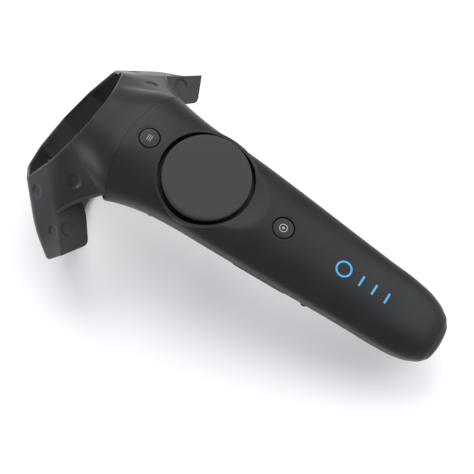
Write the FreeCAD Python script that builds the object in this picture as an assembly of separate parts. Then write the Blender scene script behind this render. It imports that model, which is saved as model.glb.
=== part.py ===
import FreeCAD, Part
import math
import os

os.makedirs("parts", exist_ok=True)
Vector = FreeCAD.Vector

# Wand-type motion controller, in millimetres.
# It is drawn in the handle's frame: origin on the trackpad's top face at its centre, +X to
# the right, +Y forward to the tracking ring, +Z out of the trackpad. At the end every piece
# is tilted nose-up, so that the ring's lowest edge and the tail rest on the plane z = 0.

# ---- driving dimensions -------------------------------------------------------------------
REST_TILT = 17.0            # nose-up tilt of the handle when it lies on a table, degrees
WALL = 1.9                  # moulded wall of every cover
JOINT_GAP = 0.12            # gap between two covers along a seam

# handle: y station, half width, crown height, keel height, height of the widest line
HANDLE_STATIONS = [
    (-123.2, 3.0, -10.6, -15.4, -12.6),
    (-122.6, 6.2, -8.6, -17.4, -12.0),
    (-120.6, 10.0, -6.0, -20.2, -11.0),
    (-116.6, 13.2, -3.8, -22.8, -9.8),
    (-110.0, 15.8, -2.3, -24.8, -8.6),
    (-101.0, 17.2, -1.3, -26.0, -7.8),
    (-86.0, 18.0, -0.7, -27.0, -7.5),
    (-68.0, 19.2, -0.3, -27.8, -7.5),
    (-50.0, 20.5, 0.0, -28.6, -7.5),
    (-32.0, 21.7, 0.2, -29.6, -7.5),
    (-14.0, 22.7, 0.4, -31.0, -7.6),
    (2.0, 23.4, 0.4, -32.4, -8.4),
    (16.0, 24.8, 0.3, -33.0, -10.5),
    (27.0, 27.4, -0.1, -31.6, -14.0),
    (36.0, 30.6, -0.8, -27.0, -18.0),
]
ROUNDNESS = 2.3             # superellipse exponent of the handle's section
SECTION_STEPS = 14          # steps round half a section
TAIL_CAP_Y = -100.0         # the handle rounds off to its tail from here
SEAM_Z = -12.5              # height of the seam between the top and bottom covers

# ring: its front edge lies in a plane through RING_NEAR, square to the hole's axis
RING_NEAR_Y = 57.1
RING_NEAR_Z = -7.9
RING_LEAN = 24.8            # angle of the hole's axis above the handle's length, degrees
# corners of the right half of each loop, from the near side round to the far side
RIM_CORNERS = [(10.5, -0.4), (27.0, 13.0), (34.8, 35.5), (25.2, 54.8), (10.0, 65.6)]
WAIST_CORNERS = [(14.0, -18.4), (38.8, 9.0), (51.5, 34.5), (36.5, 58.5), (12.5, 72.0)]
SKIRT_CORNERS = [(20.0, -27.0), (55.8, 12.0), (58.6, 34.0), (42.0, 61.0), (15.0, 77.0)]
HOLE_CORNERS = [(11.0, -2.5), (29.5, 12.0), (37.0, 35.5), (27.0, 56.0), (10.8, 67.2)]
REAR_CORNERS = [(15.0, -18.0), (44.8, 12.0), (48.2, 34.0), (34.5, 56.0), (13.0, 70.5)]
CORNER_RADII = [9.0, 9.0, 4.5, 5.0, 6.0]
WAIST_DEPTH = 18.0
SKIRT_DEPTH = 31.0
HOLE_DEPTH = 25.6
REAR_DEPTH = 37.0
LIP_DEPTH = 3.0             # the outer cover alone makes the first stretch behind the rim
LIP_WALL = 0.8
HOLLOW_DEPTH = 14.0
RIM_LAND = 0.9              # flat between the ring's outer face and its hole at the front edge
REAR_LAND = 2.2             # flat between the ring's rear face and its hole
NOTCH_U = 17.5              # the wings' rear faces start this far below the near edge
NOTCH_DEPTH = 19.0          # depth of the ring's bridge above the wings

# trackpad and buttons
PAD_RADIUS = 20.0
PAD_GAP = 1.1
MENU_Y = 30.0
MENU_RADIUS = 4.4
SYSTEM_Y = -39.5
SYSTEM_RADIUS = 4.6
BUTTON_GAP = 0.3
BUTTON_TOP = 0.0
LED_Y = -46.8
LED_RADIUS = 0.6
SCOOP_RADIUS = 100.0        # sphere that makes the thumb scoop behind the trackpad
SCOOP_Y = -4.5
SCOOP_FLOOR = -3.0
SEAM_ARC_RADIUS = 63.6      # seam between the ring cover and the handle's top cover
SEAM_ARC_MID_Y = 39.5

# trigger
PIVOT = (22.0, -25.0)       # y and z of its hinge
PIN_RADIUS = 1.0
TRIGGER_HALF_WIDTH = 9.0
TRIGGER_SLOT_Y = (-19.5, 28.5)

# grip buttons
GRIP_Y = (-56.0, -29.0)
GRIP_Z = (-20.4, -14.8)
GRIP_PROUD = 0.4

# electronics
BOARD_TOP = -12.4
BOARD_THICKNESS = 1.2
BOARD_Y = (-60.0, 18.0)
BOARD_WIDTH = 22.0
BATTERY_Y = (-95.0, -45.0)
BATTERY_Z = (-21.6, -16.6)
BATTERY_WIDTH = 20.0
BRACKET_Y = (-72.0, -36.0)
PORT_Z = -13.4
PORT_SIZE = (7.6, 2.8)
LANYARD_RADIUS = 1.5
LANYARD_PLACE = (-116.8, -19.7)     # y and z of the cross hole in the tail
SCREW_RADIUS = 1.0
SCREW_PLACES = [(9.6, -104.0), (15.4, -65.0), (19.4, 14.0)]
SENSOR_RADIUS = 2.3
SENSOR_DEPTH = 1.3          # depth of a sensor's outer face below the ring's surface
DIMPLE_RADIUS = 3.4
DIMPLE_DEPTH = 0.45


# ---- frames and small helpers ---------------------------------------------------------------
LEAN = math.radians(RING_LEAN)
RING_AXIS = Vector(0, math.cos(LEAN), math.sin(LEAN))       # forward, out of the hole
RING_DOWN = Vector(0, math.sin(LEAN), -math.cos(LEAN))      # from the near to the far side
RING_NEAR = Vector(0, RING_NEAR_Y, RING_NEAR_Z)


def ring_point(x, u, depth):
    """Point of the ring: x sideways, u from the near edge to the far one, depth behind the rim."""
    return RING_NEAR + Vector(x, 0, 0) + RING_DOWN * u - RING_AXIS * depth


def box(x, y, z, centre):
    """Box of the given sides about a centre."""
    return Part.makeBox(x, y, z, Vector(centre[0] - x / 2, centre[1] - y / 2, centre[2] - z / 2))


def cylinder(radius, start, end):
    """Round bar from one point to another."""
    span = Vector(*end) - Vector(*start)
    return Part.makeCylinder(radius, span.Length, Vector(*start), span)


def mirrored(shape):
    """The same shape on the other side of the plane x = 0."""
    return shape.mirror(Vector(0, 0, 0), Vector(1, 0, 0))


def rounded_box(x, y, z, centre, radius):
    """Box with its vertical edges rounded."""
    block = box(x, y, z, centre)
    uprights = [edge for edge in block.Edges if abs(edge.tangentAt(edge.FirstParameter).z) > 0.9]
    return block.makeFillet(radius, uprights)


# ---- outer forms ----------------------------------------------------------------------------
def half_section(y, half_width, crown, keel, belt):
    """Points of the right half of a section, from the keel round to the crown.

    The curve is a superellipse about the belt line, with its own upper and lower heights.
    """
    points = []
    for i in range(SECTION_STEPS + 1):
        angle = math.pi * (i / SECTION_STEPS - 0.5)
        c, s = abs(math.cos(angle)), math.sin(angle)
        scale = (c ** ROUNDNESS + abs(s) ** ROUNDNESS) ** (-1 / ROUNDNESS)
        height = crown - belt if s > 0 else belt - keel
        x = 0.0 if i in (0, SECTION_STEPS) else half_width * c * scale
        points.append(Vector(x, y, belt + height * s * scale))
    return points


def handle_form(inset):
    """Solid of the handle, its surface moved inwards by inset."""
    sections = []
    for y, half_width, crown, keel, belt in HANDLE_STATIONS:
        if y < TAIL_CAP_Y:
            y += inset * (TAIL_CAP_Y - y) / (TAIL_CAP_Y - HANDLE_STATIONS[0][0])
        half_width = max(1.0, half_width - inset)
        points = half_section(y, half_width, crown - inset, keel + inset, belt)
        curve = Part.BSplineCurve()
        curve.interpolate(Points=points, InitialTangent=Vector(1, 0, 0),
                          FinalTangent=Vector(-1, 0, 0))
        sections.append(Part.Wire([curve.toShape()]))
    right = Part.makeLoft(sections, False, False)
    left = mirrored(right)
    ends = []
    for section in (sections[0], sections[-1]):
        y = section.BoundBox.YMin
        rims = [edge for side in (right, left) for edge in side.Edges
                if abs(edge.BoundBox.YMin - y) < 0.01 and abs(edge.BoundBox.YMax - y) < 0.01]
        ends.append(Part.Face(Part.Wire(Part.__sortEdges__(rims))))
    shell = Part.Shell(right.Faces + left.Faces + ends)
    shell.sewShape()
    solid = Part.Solid(shell)
    if solid.Volume < 0:
        solid.reverse()
    return solid


def moved_in(corners, inset):
    """Corners of a convex polygon with every side moved inwards."""
    count = len(corners)
    moved = []
    for i in range(count):
        before, here, after = (Vector(*corners[(i + k) % count], 0) for k in (-1, 0, 1))
        first = (here - before).normalize()
        second = (after - here).normalize()
        n1 = Vector(-first.y, first.x, 0)
        n2 = Vector(-second.y, second.x, 0)
        shift = (n1 + n2) * (inset / (1 + n1.dot(n2)))
        moved.append((here.x + shift.x, here.y + shift.y))
    return moved


def ring_loop(half_corners, depth, inset):
    """Rounded polygon about the ring's hole at one depth, its sides moved inwards by inset."""
    right = list(half_corners)
    left = [(-x, u) for x, u in reversed(half_corners)]
    corners = moved_in(right + left, inset)
    radii = CORNER_RADII + CORNER_RADII[::-1]
    count = len(corners)
    arcs = []
    for i in range(count):
        before, here, after = (Vector(*corners[(i + k) % count], 0) for k in (-1, 0, 1))
        back = (before - here).normalize()
        on = (after - here).normalize()
        half = math.acos(max(-1, min(1, back.dot(on)))) / 2
        reach = radii[i] / math.tan(half)
        start = here + back * reach
        end = here + on * reach
        centre = here + (back + on).normalize() * (radii[i] / math.sin(half))
        middle = centre + (here - centre).normalize() * radii[i]
        arcs.append([ring_point(p.x, p.y, depth) for p in (start, middle, end)])
    edges = []
    for i in range(count):
        edges.append(Part.Arc(*arcs[i]).toShape())
        edges.append(Part.LineSegment(arcs[i][2], arcs[(i + 1) % count][0]).toShape())
    return Part.Wire(edges)


def front_corners(depth):
    """Corners of the ring's outer face at a depth in front of the waist."""
    part = depth / WAIST_DEPTH
    return [(x0 + (x1 - x0) * part, u0 + (u1 - u0) * part)
            for (x0, u0), (x1, u1) in zip(RIM_CORNERS, WAIST_CORNERS)]


def ring_filled():
    """Solid within the ring's outer and rear faces, as if it had no hole."""
    loops = [
        ring_loop(RIM_CORNERS, 0.0, 0.0),
        ring_loop(WAIST_CORNERS, WAIST_DEPTH, 0.0),
        ring_loop(SKIRT_CORNERS, SKIRT_DEPTH, 0.0),
        ring_loop(REAR_CORNERS, REAR_DEPTH, 0.0),
    ]
    return Part.makeLoft(loops, True, True)


def ring_hollow():
    """Space inside the ring's walls, from where the ring is wide enough to be hollow."""
    loops = [
        ring_loop(front_corners(HOLLOW_DEPTH), HOLLOW_DEPTH, 0.9 * WALL),
        ring_loop(WAIST_CORNERS, WAIST_DEPTH, WALL),
        ring_loop(SKIRT_CORNERS, SKIRT_DEPTH - 0.4 * WALL, WALL),
        ring_loop(REAR_CORNERS, REAR_DEPTH - 1.3 * WALL, 0.0),
    ]
    filled = Part.makeLoft(loops, True, True)
    return filled.cut(ring_hole(WALL)).cut(ring_notch(WALL))


def ring_hole(inset):
    """Solid that fills the ring's hole, from in front of the rim to behind the rear face."""
    loops = [
        ring_loop(RIM_CORNERS, -4.0, RIM_LAND - inset),
        ring_loop(RIM_CORNERS, 0.0, RIM_LAND - inset),
        ring_loop(HOLE_CORNERS, HOLE_DEPTH, -inset),
        ring_loop(REAR_CORNERS, REAR_DEPTH, REAR_LAND - inset),
        ring_loop(REAR_CORNERS, REAR_DEPTH + 6.0, REAR_LAND - inset),
    ]
    return Part.makeLoft(loops, True, True)


def ring_box(half_x, u_range, depth_range):
    """Block in the ring's own axes, centred on x = 0."""
    (u0, u1), (d0, d1) = u_range, depth_range
    corners = [(-half_x, u0), (half_x, u0), (half_x, u1), (-half_x, u1), (-half_x, u0)]
    face = Part.Face(Part.makePolygon([ring_point(x, u, d0) for x, u in corners]))
    return face.extrude(RING_AXIS * (d0 - d1))


def ring_notch(grow):
    """Space above the wings, behind the bridge that joins the ring to the handle."""
    return ring_box(90.0, (-60.0, NOTCH_U + grow), (NOTCH_DEPTH - grow, 80.0))


def ring_core(gap):
    """Everything inside the ring's outer cover, out past its rear edge."""
    inset = WALL + gap
    front = LIP_DEPTH + gap
    loops = [
        ring_loop(front_corners(front), front, LIP_WALL + gap),
        ring_loop(WAIST_CORNERS, WAIST_DEPTH, 1.15 * inset),
        ring_loop(SKIRT_CORNERS, SKIRT_DEPTH - 0.6, 1.15 * inset),
        ring_loop(SKIRT_CORNERS, SKIRT_DEPTH + 14.0, 1.15 * inset - 9.0),
    ]
    return Part.makeLoft(loops, True, True)


def straight_hole(inset):
    """The front stretch of the ring's hole, which also cuts the handle's front end."""
    loops = [
        ring_loop(RIM_CORNERS, -4.0, RIM_LAND - inset),
        ring_loop(RIM_CORNERS, 0.0, RIM_LAND - inset),
        ring_loop(HOLE_CORNERS, HOLE_DEPTH, -inset),
    ]
    return Part.makeLoft(loops, True, True)


def behind_arc(gap):
    """Space on the tail side of the seam arc."""
    radius = SEAM_ARC_RADIUS - gap
    y = SEAM_ARC_MID_Y - SEAM_ARC_RADIUS
    disc = Part.makeCylinder(radius, 120.0, Vector(0, y, -60))
    return disc.fuse(box(300, 200, 120, (0, y - 100, 0)))


def above(z):
    """Half space over a height, as a large block."""
    return box(400, 400, 100, (0, 0, z + 50))


def below(z):
    """Half space under a height, as a large block."""
    return box(400, 400, 100, (0, 0, z - 50))


OUT = handle_form(0.0)
VOID = handle_form(WALL)
RING_OUT = ring_filled()
HOLE = ring_hole(0.0)
FRONT_HOLE = straight_hole(0.0)
BEHIND_ARC = behind_arc(0.0)


# ---- tracking sensors -----------------------------------------------------------------------
def facet_point(loops, side, across, along):
    """Point and outward normal on the facet between two loops of the ring.

    side counts the facet from the near one, across runs along it and along runs backwards.
    """
    corners = []
    for half, depth in loops:
        loop = list(half) + [(-half[-1][0], half[-1][1])]
        corners += [ring_point(*loop[side], depth), ring_point(*loop[side + 1], depth)]
    a, b, c, d = corners
    top = a + (b - a) * across
    bottom = c + (d - c) * across
    normal = (b - a + d - c).cross(bottom - top).normalize()
    return top + (bottom - top) * along, normal


def sensor_places():
    """Centre and outward normal of each of the ring's sensors, right half and middle."""
    band_front = ((RIM_CORNERS, 0.0), (WAIST_CORNERS, WAIST_DEPTH))
    band_rear = ((WAIST_CORNERS, WAIST_DEPTH), (SKIRT_CORNERS, SKIRT_DEPTH))
    rear = ((SKIRT_CORNERS, SKIRT_DEPTH), (REAR_CORNERS, REAR_DEPTH))
    bore = ((RIM_CORNERS, 0.0), (HOLE_CORNERS, HOLE_DEPTH))
    places = []
    facets = [
        (band_front, 0, 0.78, 0.66, 1),
        (band_front, 1, 0.72, 0.36, 1),
        (band_rear, 1, 0.50, 0.34, 1),
        (band_front, 2, 0.50, 0.70, 1),
        (band_rear, 3, 0.30, 0.45, 1),
        (rear, 2, 0.42, 0.50, 1),
        (rear, 3, 0.50, 0.50, 1),
        (bore, 1, 0.30, 0.42, -1),
        (bore, 2, 0.50, 0.78, -1),
        (bore, 3, 0.50, 0.78, -1),
    ]
    for loops, side, across, along, sign in facets:
        point, normal = facet_point(loops, side, across, along)
        places.append((point, normal * -sign))
    places.append((ring_point(45.0, NOTCH_U, 26.0), RING_DOWN * -1))
    places += [(Vector(-p.x, p.y, p.z), Vector(-n.x, n.y, n.z)) for p, n in places]
    for loops, along, sign in ((band_rear, 0.55, 1), (bore, 0.78, -1)):
        point, normal = facet_point(loops, 4, 0.5, along)
        places.append((point, normal * -sign))
    return places


def discs(places, radius, start, length):
    """Round discs along each place's normal, from start below the surface inwards."""
    return [Part.makeCylinder(radius, length, p - n * start, n * -1) for p, n in places]


SENSORS = sensor_places()


# ---- ring pieces ----------------------------------------------------------------------------
def ring_screw_places():
    """Points on the ring's rear face where its screws go in."""
    rear = ((SKIRT_CORNERS, SKIRT_DEPTH), (REAR_CORNERS, REAR_DEPTH))
    places = []
    for side, across in ((2, 0.12), (2, 0.86), (3, 0.92)):
        point, _ = facet_point(rear, side, across, 0.85)
        places += [point, Vector(-point.x, point.y, point.z)]
    return places


def ring_screw_holes():
    """Bores for the ring's screws, through the inner cover and the hoop."""
    radius = SCREW_RADIUS + 0.02
    return [cylinder(radius, p - RING_AXIS * 4, p + RING_AXIS * 9.6) for p in ring_screw_places()]


def make_ring_covers():
    """Outer cover with the deck up to the seam arc, and inner cover with the hole and wing backs."""
    ring = RING_OUT.cut(HOLE).cut(ring_notch(0.0))
    neck = OUT.cut(BEHIND_ARC).common(above(SEAM_Z)).cut(FRONT_HOLE)
    shell = ring.fuse(neck).cut(ring_hollow()).cut(VOID)
    dimples = discs(SENSORS, DIMPLE_RADIUS, -2.0, 2.0 + DIMPLE_DEPTH)
    pockets = discs(SENSORS, SENSOR_RADIUS + 0.25, SENSOR_DEPTH - 0.1, 2.5)
    shell = shell.cut(Part.makeCompound(dimples)).cut(Part.makeCompound(pockets))
    handle_zone = handle_form(-1.5).common(BEHIND_ARC)
    outer = largest(shell.cut(ring_core(0.0)).cut(handle_zone))
    inner = largest(shell.common(ring_core(JOINT_GAP)).cut(handle_form(-0.1)))
    return outer, inner.cut(Part.makeCompound(ring_screw_holes()))


def largest(shape):
    """The biggest solid of a cut shape, without its slivers."""
    return max(shape.Solids, key=lambda solid: solid.Volume)


def make_ring_frame():
    """Flat stiffening hoop inside the ring that holds the sensor boards."""
    gap = WALL + 0.35
    rim = ring_loop(SKIRT_CORNERS, 27.0, 5.6)
    hoop = Part.Face(rim).extrude(RING_AXIS * -1.6).cut(ring_hole(gap))
    hoop = hoop.common(ring_box(90.0, (NOTCH_U + gap, 90.0), (26.0, 29.0)))
    clearance = discs(SENSORS, SENSOR_RADIUS + 0.3, 0.0, WALL + 2.2)
    return largest(hoop.cut(Part.makeCompound(clearance + ring_screw_holes())))


def make_sensor_flex():
    """Flexible circuit that runs round the hole's wall and joins the sensors."""
    strip = ring_hole(WALL + 1.3).cut(ring_hole(WALL + 1.0))
    strip = strip.common(ring_box(90.0, (NOTCH_U + WALL + 0.6, 90.0), (23.3, 26.2)))
    clearance = discs(SENSORS, SENSOR_RADIUS + 0.25, SENSOR_DEPTH - 0.1, 2.5)
    return largest(strip.cut(Part.makeCompound(clearance)))


def make_ring_screws():
    """Six small screws from the rear face into the stiffening hoop."""
    places = ring_screw_places()
    return Part.makeCompound(
        [cylinder(SCREW_RADIUS, p + RING_AXIS * 0.8, p + RING_AXIS * 9.5) for p in places])


# ---- handle covers --------------------------------------------------------------------------
def make_top_cover():
    """Upper half of the handle, with the trackpad well, its thumb scoop and screw bosses."""
    cover = OUT.cut(VOID).common(above(SEAM_Z)).common(behind_arc(JOINT_GAP))
    collar = Part.makeCylinder(25.5, 5.6, Vector(0, -1.5, -5.4)).common(OUT).common(BEHIND_ARC)
    cover = cover.fuse(collar)
    for x, y in SCREW_PLACES:
        for side in (-1, 1):
            boss = cylinder(2.3, (side * x, y, SEAM_Z), (side * x, y, 2.0)).common(OUT)
            cover = cover.fuse(boss)
            cover = cover.cut(cylinder(SCREW_RADIUS, (side * x, y, -30), (side * x, y, -6.5)))
    scoop = Part.makeSphere(SCOOP_RADIUS, Vector(0, SCOOP_Y, SCOOP_FLOOR + SCOOP_RADIUS))
    well = cylinder(PAD_RADIUS + PAD_GAP, (0, 0, -8), (0, 0, 4))
    openings = [
        well,
        scoop,
        cylinder(MENU_RADIUS + BUTTON_GAP, (0, MENU_Y, -8), (0, MENU_Y, 4)),
        cylinder(SYSTEM_RADIUS + BUTTON_GAP, (0, SYSTEM_Y, -8), (0, SYSTEM_Y, 4)),
        cylinder(LED_RADIUS + 0.02, (0, LED_Y, -8), (0, LED_Y, 4)),
        port_opening(),
    ]
    for opening in openings:
        cover = cover.cut(opening)
    return largest(cover)


def port_opening():
    """Space for a charging plug at the tail."""
    width, height = PORT_SIZE
    return rounded_slot(width + 1.0, height + 1.0, (-126.0, -118.0))


def rounded_slot(width, height, y_range):
    """Bar along Y with a rounded rectangular section at the charging port."""
    radius = height * 0.3
    block = box(width, y_range[1] - y_range[0], height, (0, sum(y_range) / 2, PORT_Z))
    edges = [edge for edge in block.Edges if abs(edge.tangentAt(edge.FirstParameter).y) > 0.9]
    return block.makeFillet(radius, edges)


def make_bottom_cover():
    """Lower half of the handle, open at the trigger and the grip buttons, with a lanyard hole."""
    under = below(SEAM_Z - JOINT_GAP)
    cover = OUT.cut(VOID).common(under).cut(RING_OUT).cut(FRONT_HOLE)
    chin = box(26.0, 8.4, 9.6, (0, LANYARD_PLACE[0], -21.3)).common(OUT)
    cover = cover.fuse(chin)
    y0, y1 = TRIGGER_SLOT_Y
    openings = [
        box(2 * TRIGGER_HALF_WIDTH + 1.2, y1 - y0, 30.0, (0, (y0 + y1) / 2, -36.0)),
        cylinder(LANYARD_RADIUS, (-20, *LANYARD_PLACE), (20, *LANYARD_PLACE)),
        port_opening(),
    ]
    for side in (-1, 1):
        openings.append(grip_box(0.3, side))
        for x, y in SCREW_PLACES:
            openings.append(cylinder(SCREW_RADIUS + 0.02, (side * x, y, -40), (side * x, y, -10)))
            openings.append(cylinder(2.0, (side * x, y, -40), (side * x, y, screw_seat(x, y))))
    for opening in openings:
        cover = cover.cut(opening)
    return largest(cover)


def underside(x, y):
    """Height of the handle's underside at a place, from the two stations beside it."""
    for near, far in zip(HANDLE_STATIONS, HANDLE_STATIONS[1:]):
        if near[0] <= y <= far[0]:
            share = (y - near[0]) / (far[0] - near[0])
            half_width, _, keel, belt = (a + (b - a) * share for a, b in zip(near[1:], far[1:]))
            return belt - (belt - keel) * (1 - (x / half_width) ** ROUNDNESS) ** (1 / ROUNDNESS)
    return 0.0


def screw_seat(x, y):
    """Height of the seat of a screw's head in the bottom cover."""
    return underside(x, y) + 1.1


def make_handle_screws():
    """Six screws that hold the bottom cover to the bosses of the top cover."""
    screws = []
    for x, y in SCREW_PLACES:
        seat = screw_seat(x, y)
        for side in (-1, 1):
            shank = cylinder(SCREW_RADIUS, (side * x, y, seat - 0.4), (side * x, y, -7.0))
            head = cylinder(1.9, (side * x, y, seat - 0.9), (side * x, y, seat))
            drive = cylinder(0.7, (side * x, y, seat - 1.4), (side * x, y, seat - 0.4))
            screws.append(head.fuse(shank).cut(drive))
    return Part.makeCompound(screws)


# ---- trackpad -------------------------------------------------------------------------------
def make_trackpad_disc():
    """Round touch surface with a short skirt."""
    disc = cylinder(PAD_RADIUS, (0, 0, -3.2), (0, 0, 0.0))
    rim = [edge for edge in disc.Edges
           if abs(edge.BoundBox.ZMax) < 1e-6 and edge.BoundBox.XLength > 1]
    disc = disc.makeFillet(0.6, rim)
    return disc.cut(cylinder(PAD_RADIUS - 1.4, (0, 0, -4), (0, 0, -1.4)))


def make_trackpad_carrier():
    """Plate that carries the touch board, with a boss that clicks the switch."""
    plate = cylinder(PAD_RADIUS - 1.6, (0, 0, -4.4), (0, 0, -2.7))
    boss = cylinder(2.2, (0, 0, -8.3), (0, 0, -4.0))
    ribs = box(26.0, 1.2, 1.4, (0, -6.0, -4.9)).fuse(box(1.2, 16.0, 1.4, (0, -7.0, -4.9)))
    return plate.fuse(boss).fuse(ribs)


def make_round_button(radius, y, stem_z):
    """Round key with a flange under the cover and a stem down to its switch."""
    cap = cylinder(radius, (0, y, -3.0), (0, y, BUTTON_TOP))
    rim = [edge for edge in cap.Edges
           if edge.BoundBox.ZMin > BUTTON_TOP - 1e-6 and edge.BoundBox.XLength > 1]
    cap = cap.makeFillet(0.3, rim)
    flange = cylinder(radius + 1.0, (0, y, -3.6), (0, y, -2.7))
    return cap.fuse(flange).fuse(cylinder(1.5, (0, y, stem_z), (0, y, -3.0)))


# ---- trigger --------------------------------------------------------------------------------
def trigger_profile():
    """Side view of the trigger: a hooked finger lever that hangs from its hinge."""
    py, pz = PIVOT
    outline = [
        Part.Arc(Vector(0, py - 2.6, pz + 2.2), Vector(0, py + 1.2, pz + 3.2), Vector(0, py + 3.4, pz)),
        Part.LineSegment(Vector(0, py + 3.4, pz), Vector(0, py + 3.6, -31.5)),
        Part.Arc(Vector(0, py + 3.6, -31.5), Vector(0, 9.0, -37.0), Vector(0, -6.0, -45.5)),
        Part.Arc(Vector(0, -6.0, -45.5), Vector(0, -10.4, -46.4), Vector(0, -13.0, -43.0)),
        Part.LineSegment(Vector(0, -13.0, -43.0), Vector(0, -12.6, -30.5)),
        Part.LineSegment(Vector(0, -12.6, -30.5), Vector(0, 8.0, -27.0)),
        Part.LineSegment(Vector(0, 8.0, -27.0), Vector(0, py - 2.6, pz + 2.2)),
    ]
    return Part.Wire([curve.toShape() for curve in outline])


def make_trigger():
    """Finger lever with a hinge bore, a slot for the return spring and a magnet pocket."""
    py, pz = PIVOT
    width = 2 * TRIGGER_HALF_WIDTH
    blade = Part.Face(trigger_profile()).extrude(Vector(width, 0, 0))
    blade.translate(Vector(-TRIGGER_HALF_WIDTH, 0, 0))
    bore = cylinder(PIN_RADIUS + 0.05, (-20, py, pz), (20, py, pz))
    slot = box(5.0, 8.4, 9.0, (0, py - 0.2, pz - 0.4))
    pocket = cylinder(1.55, (0, -6.0, -31.2), (0, -6.0, -26))
    return blade.cut(bore).cut(slot).cut(pocket)


def make_trigger_spring():
    """Torsion spring of three turns round the hinge pin."""
    py, pz = PIVOT
    turns = [Part.makeTorus(2.0, 0.4, Vector(x, py, pz), Vector(1, 0, 0)) for x in (-0.8, 0.0, 0.8)]
    return turns[0].fuse(turns[1]).fuse(turns[2])


def make_trigger_bracket():
    """Cradle fixed in the handle: two ears for the hinge pin and a roof for the sensor."""
    py, pz = PIVOT
    roof = box(22.6, 40.0, 1.2, (0, 7.0, -15.6))
    ears = [box(1.4, 8.6, 12.4, (side * 10.6, py, -21.8)) for side in (-1, 1)]
    cradle = roof.fuse(ears[0]).fuse(ears[1])
    return cradle.cut(cylinder(PIN_RADIUS + 0.02, (-20, py, pz), (20, py, pz)))


# ---- grip buttons ---------------------------------------------------------------------------
def grip_box(grow, side):
    """Block that trims a grip button out of the handle's side."""
    y0, y1 = GRIP_Y
    z0, z1 = GRIP_Z
    block = box(16.0, y1 - y0 + 2 * grow, z1 - z0 + 2 * grow, (side * 20.0, (y0 + y1) / 2, (z0 + z1) / 2))
    edges = [edge for edge in block.Edges if abs(edge.tangentAt(edge.FirstParameter).x) > 0.9]
    return block.makeFillet(2.0 + grow, edges)


def make_grip_button():
    """Slim curved key in the handle's right side, with a flange behind the cover."""
    skin = handle_form(-GRIP_PROUD).cut(handle_form(WALL + 1.3))
    flange = handle_form(WALL + 0.3).cut(handle_form(WALL + 1.3))
    return largest(skin.common(grip_box(0.0, 1)).fuse(flange.common(grip_box(0.9, 1))))


# ---- electronics ----------------------------------------------------------------------------
def make_main_board():
    """Long circuit board under the trackpad and the system button."""
    y0, y1 = BOARD_Y
    return rounded_box(BOARD_WIDTH, y1 - y0, BOARD_THICKNESS,
                       (0, (y0 + y1) / 2, BOARD_TOP - BOARD_THICKNESS / 2), 1.5)


def make_board_chips():
    """Processor, motion sensor, power and memory chips and a shielded radio can."""
    top, under = BOARD_TOP, BOARD_TOP - BOARD_THICKNESS
    chips = [
        box(7.0, 7.0, 0.9, (0, -22.0, top + 0.45)),
        box(4.0, 4.0, 0.8, (-6.5, -13.0, top + 0.4)),
        box(3.0, 5.0, 0.9, (6.5, -12.0, top + 0.45)),
        box(12.0, 9.0, 1.6, (0, -52.0, top + 0.8)),
        box(5.0, 4.0, 0.8, (-5.0, -32.0, under - 0.4)),
        box(4.0, 6.0, 0.8, (5.0, -36.0, under - 0.4)),
        box(1.0, 1.2, 0.5, (0, LED_Y, top + 0.25)),
    ]
    return Part.makeCompound(chips)


def switch(x, y, base_z, top_z):
    """Square tactile switch with a round plunger."""
    body = box(5.0, 5.0, (top_z - base_z) * 0.7, (x, y, base_z + (top_z - base_z) * 0.35))
    return body.fuse(cylinder(1.3, (x, y, base_z + 0.5), (x, y, top_z)))


def make_battery_bracket():
    """Channel over the battery whose sides carry the grip switches."""
    y0, y1 = BRACKET_Y
    roof = box(23.8, y1 - y0, 1.0, (0, (y0 + y1) / 2, -15.9))
    sides = [box(1.0, y1 - y0, 4.2, (side * 11.4, (y0 + y1) / 2, -17.9)) for side in (-1, 1)]
    return roof.fuse(sides[0]).fuse(sides[1])


def make_grip_switches():
    """Two switches on the bracket's sides, one behind each grip button."""
    y = sum(GRIP_Y) / 2
    z = sum(GRIP_Z) / 2
    bodies = []
    for side in (-1, 1):
        body = box(1.9, 4.2, 3.2, (side * 12.85, y, z))
        bodies.append(body.fuse(cylinder(0.9, (side * 13.0, y, z), (side * 14.0, y, z))))
    return Part.makeCompound(bodies)


def make_usb_connector():
    """Charging socket: a thin steel shell round a contact tongue."""
    width, height = PORT_SIZE
    body = rounded_slot(width, height, (-121.2, -115.8))
    hollow = rounded_slot(width - 0.8, height - 0.8, (-122.0, -116.6))
    tongue = box(3.6, 3.6, 0.6, (0, -118.2, PORT_Z + 0.3))
    return body.cut(hollow).fuse(tongue)


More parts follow.
